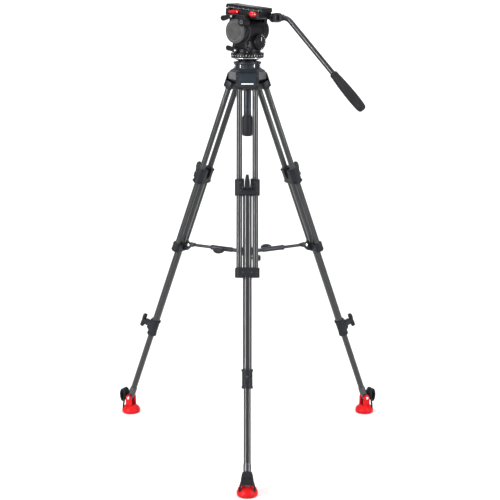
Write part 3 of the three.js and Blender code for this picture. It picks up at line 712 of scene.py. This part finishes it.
def spreader_hub():
    low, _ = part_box("spreader_hub")
    matrix = crown_frame() @ Matrix.Translation((0, 0, low.z / MM + 13))
    core = rod(9, (-13, 3), edge=0.8)
    parts, slots = [], []
    for azimuth in LEG_AZIMUTHS:
        angle = math.radians(azimuth)
        side = polish([(2, -13), (20, -13), (30.4, -6), (30.4, 7), (24, 11), (2, 11)], 3)
        parts.append(turned(extrude(side, (-9.4, 9.4), "y", 1.0), angle))
        slots.append(turned(block((9, 36), (-5.9, 5.9), (-16, 16), 0.3), angle))
    shape = carve(unite(core, *parts), *slots, rod(19, (4, 16), edge=0.3))
    place("hub_body", shape, matrix, "spreader_hub", plastic, ["spreader_hub"])
    cap = unite(rod(6.5, (2.8, 4.2), edge=0.4), rod(3.2, (3, 5.0), edge=0.4, sides=6))
    place("hub_cap", cap, matrix, "spreader_hub", steel)
    bolts = []
    for azimuth in LEG_AZIMUTHS:
        for y in (-9.4, 9.4):
            bolt = rod(3.6, (y - 0.9, y + 0.9), "y", (25.5, 0, 0), 0.4, 28)
            bolts.append(turned(bolt, math.radians(azimuth)))
    place("hub_bolts", gathered(*bolts), matrix, "spreader_hub", steel)


def make_leg(leg):
    matrix = leg_frame(leg)
    for build in (hinge_block, upper_tubes, base_collar, slide_clamp, middle_tube, lower_clamp, lower_tube):
        build(leg, matrix)
    foot(leg)
    spreader_arm(leg)


# ---------------------------------------------------------------- crown

def arc_points(radius, angles, centre=(0, 0)):
    return [(centre[0] + radius * math.cos(math.radians(a)), centre[1] + radius * math.sin(math.radians(a)))
            for a in angles]


def hexagon(radius):
    return arc_points(radius, range(0, 360, 60))


def hex_loft(levels, corner):
    """A six-sided solid through (radius, height) levels, its corners rounded."""
    bm = bmesh.new()
    rings = []
    for radius, height in levels:
        rings.append([bm.verts.new((x, y, height)) for x, y in polish(hexagon(radius), corner * radius / 61)])
    for low, high in zip(rings, rings[1:]):
        for i in range(len(low)):
            k = (i + 1) % len(low)
            bm.faces.new((low[i], low[k], high[k], high[i]))
    bm.faces.new(rings[0])
    bm.faces.new(rings[-1])
    return finished(bm)


def crown(matrix):
    skirt = hex_loft([(59.5, 1187), (61, 1188.5), (61, 1210.5), (60, 1212), (46, 1221), (42, 1223)], 6)
    neck = lathe([(0, 1215), (42.5, 1220), (41, 1224), (40.5, 1233), (43, 1236), (43.5, 1237), (43.5, 1240.6),
                  (42.5, 1241.6), (0, 1241.6)], 96)
    shape = unite(skirt, neck)
    seat = arc_points(37.7, range(-84, 1, 6), (0, BALL_HEIGHT))
    bowl = lathe([(0, 1202.5), *seat, (37.7, 1250), (0, 1250)], 96)
    throat = lathe([(0, 1180), (34, 1180), (24, 1206), (24, 1222), (0, 1222)], 64)
    cutters = [bowl, throat]
    for n in range(20):
        angle = math.radians(18 * n + 9)
        cutters.append(turned(block((39, 48), (-4.2, 4.2), (1223.5, 1234.5), 1.2), angle))
    cheeks = []
    pins = []
    for azimuth in LEG_AZIMUTHS:
        turn = math.radians(azimuth)
        cutters.append(turned(block((29, 80), (-17.4, 17.4), (1170, 1205.7), 0.6), turn))
        cutters.append(turned(block((45.2, 80), (-36.6, 36.6), (1170, 1213.8), 0.4), turn))
        for y in (-23.4, 23.4):
            cheeks.append(turned(rod(10, (y - 6, y + 6), "y", (41, 0, 1193.7), 0.8), turn))
        pins.append(turned(rod(4, (-24, 24), "y", (41, 0, 1193.7), 0.4), turn))
    place("crown_body", unite(carve(shape, *cutters), *cheeks), matrix, "crown", casting, ["crown_casting"])
    place("crown_pins", gathered(*pins), matrix, "crown", steel)
    # painted highlight: bright steel bars stand in for the highlights on the dark ribs of the ball seen
    # through the neck windows
    highlight_ribs = []
    for azimuth in (32, 68, 104, 140, 220, 256, 292, 328):
        turn = math.radians(azimuth - 90)
        highlight_ribs.append(turned(block((39.5, 41.6), (-1.5, 1.5), (1223.8, 1234.2), 0.4), turn))
    place("neck_rib_highlights", gathered(*highlight_ribs), matrix, "crown", steel)
    plates = []
    for azimuth in (-30, 90, 210):
        turn = math.radians(azimuth)
        outline = [(-25, 1188.8), (25, 1188.8), (25, 1208), (21, 1211.5), (-21, 1211.5), (-25, 1208)]
        plates.append(turned(extrude(polish(outline, 2), (52.2, 54.2), "x", 0.6), turn))
    place("crown_side_plates", gathered(*plates), matrix, "crown", pale_plate)
    profile = [(42.9, 1237.5), (43.9, 1237.5), (44.1, 1238), (44.1, 1240.2), (43.9, 1240.8), (42.9, 1240.8)]
    place("bowl_band", lathe(profile, 96), matrix, "crown", bowl_metal)


def levelling(matrix):
    arc = arc_points(36.6, range(-45, 1, 5), (0, BALL_HEIGHT))
    ball = lathe([(0, 1214), (25.6, 1214), *arc, (35.4, 1243.4), (29, 1243.6), (29, 1245.5), (44, 1251.4),
                  (45.5, 1252.2), (0, 1252.2)], 96)
    place("ball_body", ball, matrix, "levelling_ball", black, ["half_ball"])
    flutes = []
    for n in range(10):
        angle = 2 * math.pi * n / 10
        spot = (18.6 * math.cos(angle), 18.6 * math.sin(angle), 0)
        flutes.append(rod(2.4, (1012, 1064), at=spot, edge=1.2, sides=20))
    grip = lathe([(0, 1008), (11, 1008), (14, 1009.4), (16.3, 1013), (17, 1018), (17, 1060), (16, 1068),
                  (13, 1073), (12, 1076), (0, 1076)], 64)
    place("tie_down_grip", carve(grip, *flutes), matrix, "tie_down", plastic, ["tie_down_handle"])
    profile = [(0, 1074), (11.4, 1074), (12, 1077), (12, 1164), (11, 1167), (7, 1170), (7, 1213), (0, 1213)]
    place("tie_down_shaft", lathe(profile, 48), matrix, "tie_down", bowl_metal, ["tie_down_handle"])


# ---------------------------------------------------------------- head

def pan_section(matrix):
    base = lathe([(0, 1252.4), (48, 1252.4), (50.6, 1253), (51, 1254), (51, 1255.4), (50.4, 1256), (44, 1256),
                  (44, 1270), (0, 1270)], 96)
    place("base_drum", base, matrix, "levelling_ball", black, ["pan_base"])
    profile = [(49, 1252.3), (50.8, 1252.6), (51.3, 1253.2), (51.3, 1254.4), (50.8, 1255.0), (49, 1255.0)]
    place("base_rim", lathe(profile, 96), matrix, "levelling_ball", steel)
    ring = pipe(51.6, 44.5, (1256.5, 1269.5), 96)
    grips = []
    for n in range(36):
        grips.append(turned(block((50.8, 54), (-1.5, 1.5), (1255, 1271), 0.5), math.radians(10 * n)))
    place("drag_ring_body", carve(ring, *grips), matrix, "drag_ring", black, ["pan_drag_ring"])
    ticks = []
    for n in range(36):
        tall = 5.2 if n % 3 == 0 else 2.6
        mark = block((51.4, 51.9), (-0.45, 0.45), (1260, 1260 + tall), 0.1)
        ticks.append(turned(mark, math.radians(10 * n + 5)))
    place("drag_ring_marks", gathered(*ticks), matrix, "drag_ring", white_mark)


def tilt_housing(matrix):
    body = "pan_head"
    disc = lathe([(0, 1270.5), (41.4, 1270.5), (42, 1271.2), (42, 1281), (39, 1284), (0, 1284)], 96)
    turret = extrude(rounded((-31, 31), (-34, 38), 13, 8), (1280, 1340), "z", 1.5)
    drum = rod(38, (-36, 46), "y", TILT_AXIS, 1.8, 96)
    flange = rod(38.8, (34, 38), "y", TILT_AXIS, 0.8, 96)
    boss = rod(23, (8, 42), "x", BALANCE_DIAL, 1.2, 64)
    shoulder = extrude(polish([(-40, 1281), (40, 1281), (34, 1312), (-34, 1312)], 8), (-30, 34), "y", 4)
    shape = unite(disc, turret, drum, flange, boss, shoulder)
    cutters = [
        rod(3.4, (-46, -35.6), "y", (-8, 0, 1278), 0.1),
        rod(10.4, (-37, -24), "y", TILT_AXIS, 0.1),
        rod(10.4, (34, 47), "y", TILT_AXIS, 0.1),
        rod(4.4, (33.6, 43), "x", BALANCE_DIAL, 0.1),
    ]
    place("housing_body", carve(shape, *cutters), matrix, body, black, ["tilt_housing"])
    band_ring = lathe([(38.1, -35), (38.9, -34.6), (38.9, -31.4), (38.1, -31)], 96, along="y", at=TILT_AXIS)
    place("housing_band", band_ring, matrix, body, dark_metal)
    screws = []
    for z, x in ((1292, 34.6), (1292, -34.6)):
        screws += [rod(2.2, (-31.4, -29.8), "y", (x * 0.8, 0, z), 0.4, 20)]
    place("housing_screws", gathered(*screws), matrix, body, dark_metal)
    index = block((-1.2, 1.2), (-42.4, -41.8), (1272.2, 1280.4), 0.2)
    place("index_mark", turned(index, math.radians(38)), matrix, body, white_mark)
    bubble(matrix, body)


def bubble(matrix, body):
    """The round spirit level on the housing's operator side."""
    spot = (33.0, -33.0, 0)
    cup = pipe(7.2, 5.4, (1278, 1286), 48, at=spot)
    floor = rod(5.6, (1278, 1281), at=spot, edge=0.3, sides=48)
    stem = block((24, 36), (-36, -24), (1274, 1279.5), 1.0)
    place("level_cup", unite(cup, floor, stem), matrix, body, black)
    dome = [(r, 1284.4 + z * 1.8 / 5.3) for r, z in arc_points(5.3, range(0, 90, 15))]
    vial = lathe([(0, 1281.2), (5.3, 1281.2), *dome, (0, 1286.2)], 48, at=spot)
    place("level_vial", vial, matrix, body, bubble_glass)
    circle = pipe(2.3, 1.9, (1286.0, 1286.5), 40, at=spot)
    place("level_circle", circle, matrix, body, black)


def pan_lock(matrix):
    outline = [(-1, 1271.5), (0, 1284.5), (-16, 1287), (-34, 1292.5), (-43, 1292.5), (-46, 1287), (-45, 1280),
               (-40, 1276.4), (-26, 1275), (-14, 1271)]
    arm = extrude(polish(outline, 4), (-52, -44.5), "y", 2.2)
    spot = (-8, 0, 1278)
    shape = unite(arm, rod(7, (-52.4, -43), "y", spot, 1.0), rod(3, (-45, -36.4), "y", spot, 0.2))
    place("pan_lock_body", shape, matrix, "pan_lock", black, ["pan_lock_lever"])
    cap = rod(3.4, (-53.0, -52), "y", spot, 0.3, 28)
    place("pan_lock_cap", cap, matrix, "pan_lock", steel)


def counterbalance(matrix):
    disc = unite(rod(25, (42.4, 47.4), "x", BALANCE_DIAL, 1.0, 96),
                 rod(18, (46, 50), "x", BALANCE_DIAL, 1.2, 72))
    notches = []
    for n in range(24):
        notch = rod(1.6, (40, 49), "x", (0, 8, 1303 + 25.6), 0.1, 16)
        notches.append(turned(notch, 2 * math.pi * n / 24, "X", BALANCE_DIAL))
    stem = rod(4, (34, 44), "x", BALANCE_DIAL, 0.3)
    place("balance_dial", unite(carve(disc, *notches), stem), matrix, "counterbalance", black,
          ["counterbalance_dial"])
    marks = []
    for n in range(8):
        dot = rod(1.3, (47.0, 47.8), "x", (0, 8, 1303 + 21.2), 0.2, 20)
        marks.append(turned(dot, math.radians(22 * n - 170), "X", BALANCE_DIAL))
    place("balance_marks", gathered(*marks), matrix, "counterbalance", white_mark)
    pointer = block((49.6, 50.4), (7, 9), (1306, 1318), 0.3)
    place("balance_pointer", pointer, matrix, "counterbalance", white_mark)


def tilting_platform(matrix):
    body = "tilt_head"
    deck = extrude(polish([(-66, 1381), (-62, 1378), (58, 1378), (64, 1384), (64, 1400), (-66, 1400)], 2.5),
                   (-33, 33), "y", 1.4)
    bridge = block((-30, 30), (-58, 62), (1377, 1388), 2.0)
    parts = [bridge]
    for span, radius in (((-58, -37), 38.5), ((46.8, 62), 38.5)):
        parts.append(rod(radius, span, "y", TILT_AXIS, 1.8, 96))
        side = polish([(-30, 1337), (30, 1337), (27, 1386), (-27, 1386)], 6)
        parts.append(extrude(side, span, "y", 1.6))
    parts.append(rod(10, (-48, -24.4), "y", TILT_AXIS, 0.3))
    parts.append(rod(10, (34.4, 50), "y", TILT_AXIS, 0.3))
    parts.append(rod(14, (18, 31.2), "y", (80, 0, 1385), 1.0, 64))
    parts.append(block((56, 80), (16, 31.2), (1378, 1395), 1.4))
    parts.append(rod(13.2, (-58, -40), "y", DRAG_DIAL, 1.0, 48))
    cutters = [
        block((-67, 96), (-22, 22), (1396, 1404), 0.4),
        block((-49, -11), (-36, -24), (1387, 1402), 0.8),
        rod(3.4, (-36, -24), "y", (44, 0, 1394), 0.1),
        rod(3.4, (-60, -48), "y", DRAG_DIAL, 0.1),
        rod(3.4, (-60, -48), "y", (-14, 0, 1380), 0.1),
        rod(4.4, (15, 33), "y", (80, 0, 1385), 0.1),
        block((-60, 60), (-35, -32.2), (1379.6, 1382.2), 0.4),
        block((-60, 60), (32.2, 35), (1379.6, 1382.2), 0.4),
    ]
    place("platform_body", carve(unite(deck, *parts), *cutters), matrix, body, black, ["platform"])
    profile = [(0, -58.3), (37, -58.3), (37, -61), (36, -62.2), (33.6, -62.6), (33.2, -63.5), (0, -63.5)]
    disc = lathe(profile, 96, along="y", at=TILT_AXIS)
    cover = carve(disc, rod(13.5, (-70, -57), "y", DRAG_DIAL, 0.1, 48))
    place("cover_disc", cover, matrix, body, disc_grey, ["side_cover"])
    groove_ring = [(28.4, -63.4), (29.6, -63.4), (29.6, -63.9), (28.4, -63.9)]
    ring = carve(lathe(groove_ring, 96, along="y", at=TILT_AXIS), rod(15, (-70, -57), "y", DRAG_DIAL))
    place("cover_ring", ring, matrix, body, pale_plate)
    screws = [rod(2.2, (-64.2, -63.0), "y", (27 * math.cos(a), 0, TILT_HEIGHT + 27 * math.sin(a)), 0.4, 20)
              for a in (math.radians(215), math.radians(325), math.radians(120))]
    place("cover_screws", gathered(*screws), matrix, body, dark_metal)


def small_controls(matrix):
    ring = [(0, -58.4), (12.5, -58.4), (12.5, -64.6), (11.2, -66), (7.6, -66), (7.0, -65.2), (0, -65.2)]
    dial = lathe(ring, 48, along="y", at=DRAG_DIAL)
    flutes = []
    for n in range(16):
        flute = rod(1.2, (-70, -59), "y", (26, 0, 1368 + 13), 0.1, 14)
        flutes.append(turned(flute, 2 * math.pi * n / 16, "Y", DRAG_DIAL))
    stem = rod(3, (-60, -50), "y", DRAG_DIAL, 0.2)
    place("drag_dial_body", unite(carve(dial, *flutes), stem), matrix, "tilt_drag", black, ["tilt_drag_dial"])
    face = lathe([(3.4, -65.1), (6.0, -65.1), (6.0, -65.8), (3.4, -65.8)], 48, along="y", at=DRAG_DIAL)
    place("drag_dial_face", face, matrix, "tilt_drag", pale_plate)
    outline = [(-8, 1374), (-7, 1387), (-20, 1386.5), (-42, 1381), (-54, 1379), (-57, 1372), (-54, 1365),
               (-46, 1362.6), (-36, 1366), (-22, 1373.6)]
    arm = extrude(polish(outline, 5), (-68, -59.2), "y", 2.0)
    hub = rod(6.4, (-68.6, -58.5), "y", (-14, 0, 1380.5), 0.8)
    shape = unite(arm, hub, rod(3, (-60, -50), "y", (-14, 0, 1380), 0.2))
    place("tilt_lock_body", shape, matrix, "tilt_lock", black, ["tilt_lock_lever"])
    place("tilt_lock_cap", rod(3.2, (-69.2, -68), "y", (-14, 0, 1380.5), 0.3, 28), matrix, "tilt_lock", steel)
    outline = [(-48, 1388), (-14, 1388), (-12, 1391), (-12, 1399), (-20, 1399), (-44, 1395.5), (-48, 1394)]
    press = extrude(polish(outline, 5), (-42, -28), "y", 2.6)
    grooves = [block((x - 0.6, x + 0.6), (-44, -41.4), (1389, 1398), 0.2) for x in (-22, -18)]
    place("release_button_body", carve(press, *grooves), matrix, "release_button", button_red,
          ["plate_release_button"])
    outline = [(37, 1387), (52, 1386), (61, 1390.5), (61, 1397.5), (51, 1402), (38, 1401)]
    arm = extrude(polish(outline, 5), (-43.4, -35), "y", 2.6)
    spot = (44, 0, 1394)
    shape = unite(arm, rod(8, (-44, -33.5), "y", spot, 2.0), rod(3, (-36, -26), "y", spot, 0.2))
    place("plate_lock_body", shape, matrix, "plate_lock", button_red, ["plate_lock_lever"])


def sliding_plate(matrix):
    body = "sliding_plate"
    outline = [(-72, 1401), (-71.6, 1405), (-69, PLATE_TOP), (69, PLATE_TOP), (71.6, 1405), (72, 1401)]
    deck = extrude(polish(outline, 1.6), (-27, 27), "y", 1.2)
    tongue = block((-66, 66), (-21.6, 21.6), (1396.5, 1403), 0.6)
    slot = extrude(rounded((-28, 28), (-3.7, 3.7), 3.6), (1390, 1420), "z", 0)
    room = block((-34, 34), (-8, 8), (1390, 1404), 0.4)
    tray = [extrude(rounded(x, (-22, 22), 3), (PLATE_TOP - 0.8, 1420), "z", 0)
            for x in ((-66, -32), (32, 66))]
    place("plate_body", carve(unite(deck, tongue), slot, room, *tray), matrix, body, black, ["camera_plate"])
    pads = []
    for x in ((-65.6, -32.4), (32.4, 65.6)):
        pad = extrude(rounded(x, (-21.6, 21.6), 2.7), (PLATE_TOP - 1.2, PLATE_TOP), "z", 0.3)
        grooves = [block((x[0] - 1, x[1] + 1), (y - 0.6, y + 0.6), (PLATE_TOP - 0.5, 1420), 0.1)
                   for y in range(-18, 19, 4)]
        pads.append(carve(pad, *grooves))
    place("plate_pads", gathered(*pads), matrix, body, black_rubber)
    ticks = [block((x - 0.3, x + 0.3), (-27.3, -26.9), (1402.5, 1404.5 + (2 if x % 20 == 0 else 0)), 0.05)
             for x in range(-60, 61, 5)]
    place("plate_scale", gathered(*ticks), matrix, body, white_mark)
    screw = unite(rod(7, (1397, 1402), edge=0.5, sides=48),
                  rod(3.1, (1401, PLATE_TOP - 0.6), edge=0.5, sides=32))
    slit = block((-8, 8), (-0.8, 0.8), (1390, 1398.4), 0.1)
    place("plate_screw", carve(screw, slit), matrix, "screw", steel, ["camera_screw"])


def bar_point(pivot, distance):
    """A point on the bar's straight run, measured from the corner of its bend."""
    return (pivot.x + BAR_CORNER + distance * math.cos(BAR_SLOPE), pivot.z - distance * math.sin(BAR_SLOPE))


def pan_arm(matrix):
    pivot = matrix.inverted() @ (Vector(joint("pan_bar_angle")["pos_m"]) / MM)
    x, y, z = pivot
    bend = 17.0
    corner = Vector((x + BAR_CORNER, z))
    path = [(x + 11, z), (corner.x - bend, z)]
    for n in range(1, 13):
        t = n / 12
        a, b = Vector((corner.x - bend, z)), Vector(bar_point(pivot, bend))
        path.append(tuple(a * (1 - t) ** 2 + corner * 2 * t * (1 - t) + b * t ** 2))
    path += [bar_point(pivot, d) for d in (100, 200, 300, BAR_REACH - 8)]
    place("bar_tube", hose(path, [8.0] * len(path), y), matrix, "pan_arm", bar_metal, ["pan_bar"])
    socket = polish([(x - 4, z - 10.4), (x + 22, z - 10.4), (x + 22, z + 10.4), (x - 4, z + 10.4)], 4)
    shape = unite(rod(15, (31.8, 52.4), "y", (x, 0, z), 1.4, 72), extrude(socket, (31.8, 52.4), "y", 2.4))
    teeth = []
    for n in range(30):
        tooth = block((x + 9, x + 17), (30, 32.6), (z - 0.5, z + 0.5), 0.1)
        teeth.append(turned(tooth, 2 * math.pi * n / 30, "Y", (x, 0, z)))
    bores = [rod(8.2, (x + 10, x + 30), "x", (0, y, z), 0.1), rod(4.4, (30, 54), "y", (x, 0, z), 0.1)]
    place("bar_clamp_body", carve(shape, *bores, *teeth), matrix, "pan_arm", black, ["pan_bar_clamp"])
    collar = pipe(9.4, 8.1, (x + 22.2, x + 24.4), 48, at=(0, y, z), along="x")
    place("bar_collar", collar, matrix, "pan_arm", dark_metal)
    outline = [(17, -4), (17, 4), (8, 7), (-8, 7), (-17, 4), (-17, -4), (-8, -7), (8, -7)]
    wing = polish([(x + a, z + b) for a, b in outline], 4)
    knob = unite(extrude(wing, (59, 67.2), "y", 2.2), rod(8, (53, 62), "y", (x, 0, z), 0.8),
                 rod(4, (20, 54), "y", (x, 0, z), 0.3))
    place("bar_screw_body", knob, matrix, "pan_arm_screw", black, ["pan_bar_screw"])
    grip_sleeve(matrix, pivot)


def grip_sleeve(matrix, pivot):
    """The soft hand grip: a swelling sleeve with lengthwise flutes, closed at its far end."""
    path, radii = [], []
    shape = ((150, 10.6), (148.5, 11.8), (144, 12.4), (138, 12.8), (136.5, 12.0), (134, 12.0), (132.5, 13.2),
             (110, 14.5), (85, 15.5), (60, 16.0), (40, 15.9), (22, 15.2), (14, 14.6), (8.5, 13.8), (4, 12.4),
             (1.5, 10.2), (0.2, 6.0))
    for back, radius in shape:
        path.append(bar_point(pivot, BAR_REACH - back))
        radii.append(radius)
    grip = hose(path, radii, pivot.y, 96)
    flutes = []
    for n in range(10):
        angle = 2 * math.pi * n / 10
        spot = (17.6 * math.cos(angle), 17.6 * math.sin(angle), 0)
        flutes.append(rod(3.4, (18, 118), at=spot, edge=2.8, sides=20))
    end = bar_point(pivot, BAR_REACH)
    lay = Matrix.Translation((end[0], pivot.y, end[1])) @ Matrix.Rotation(BAR_SLOPE - math.pi / 2, 4, "Y")
    for groove in flutes:
        groove.transform(lay)
    place("grip_body", carve(grip, *flutes), matrix, "pan_arm", black_rubber, ["pan_bar_grip"])


# ---------------------------------------------------------------- build

make_leg("front")
make_leg("right")
make_leg("left")
plain_stripe(leg_frame("front"))
spreader_hub()
crown(crown_frame())
head = head_frame()
levelling(crown_frame())
pan_section(head)
tilt_housing(head)
pan_lock(head)
counterbalance(head)
platform = platform_frame()
tilting_platform(platform)
small_controls(platform)
sliding_plate(platform)
pan_arm(head)


# ---------------------------------------------------------------- studio

def studio_sweep():
    """A pale floor that curves up into a wall far behind the tripod, as one sheet."""
    back, radius, half_width, height = 7.0, 2.5, 16.0, 9.0
    profile = [(-14.0, 0.0), (back - radius, 0.0)]
    for n in range(1, 17):
        angle = math.pi / 2 * n / 16
        profile.append((back - radius + radius * math.sin(angle), radius - radius * math.cos(angle)))
    profile.append((back, height))
    bm = bmesh.new()
    rows = [[bm.verts.new((x, y, z - 0.0005)) for y, z in profile] for x in (-half_width, half_width)]
    for i in range(len(profile) - 1):
        bm.faces.new((rows[0][i], rows[1][i], rows[1][i + 1], rows[0][i + 1]))
    mesh = finished(bm)
    mesh.polygons.foreach_set("use_smooth", [True] * len(mesh.polygons))
    sweep = bpy.data.objects.new("studio_sweep", mesh)
    bpy.context.scene.collection.objects.link(sweep)
    material = bpy.data.materials.new("studio_white")
    material.use_nodes = True
    shader = material.node_tree.nodes["Principled BSDF"]
    shader.inputs["Base Color"].default_value = (0.72, 0.72, 0.72, 1)
    shader.inputs["Roughness"].default_value = 0.9
    sweep.data.materials.append(material)


def soft_light(name, location, target, size, power):
    data = bpy.data.lights.new(name, "AREA")
    data.shape = "RECTANGLE"
    data.size, data.size_y = size
    data.energy = power
    light = bpy.data.objects.new(name, data)
    bpy.context.scene.collection.objects.link(light)
    light.location = location
    light.rotation_euler = (Vector(target) - Vector(location)).to_track_quat("-Z", "Y").to_euler()


def white_world():
    world = bpy.data.worlds.new("studio_world")
    bpy.context.scene.world = world
    world.use_nodes = True
    background = world.node_tree.nodes["Background"]
    background.inputs["Color"].default_value = (1, 1, 1, 1)
    background.inputs["Strength"].default_value = 0.6


def studio_camera():
    """Far off and a little above the head, looking slightly down at the front leg."""
    distance, side, height = 3.8547, 0.0082, 1.4981
    pitch = math.radians(12.58)
    data = bpy.data.cameras.new("camera")
    data.sensor_width = 36.0
    data.lens = 87.94
    data.clip_end = 100
    camera = bpy.data.objects.new("camera", data)
    bpy.context.scene.collection.objects.link(camera)
    axis = joint("pan")["pos_m"]
    camera.location = (axis[0] + side, axis[1] - distance, height)
    camera.rotation_euler = (math.pi / 2 - pitch, 0, 0)
    bpy.context.scene.camera = camera


studio_sweep()
white_world()
soft_light("key_left", (-2.8, -2.4, 1.9), (0, 0, 0.8), (0.3, 3.4), 210)
soft_light("key_right", (3.0, -1.8, 1.9), (0, 0, 0.8), (0.3, 3.4), 130)
soft_light("top", (0.0, 0.6, 4.4), (0, 0.6, 0), (3.0, 3.0), 90)
soft_light("wall_wash", (0.0, 3.4, 4.6), (0, 6.6, 1.0), (7.0, 0.8), 260)
studio_camera()
bpy.context.scene.view_settings.view_transform = "Standard"
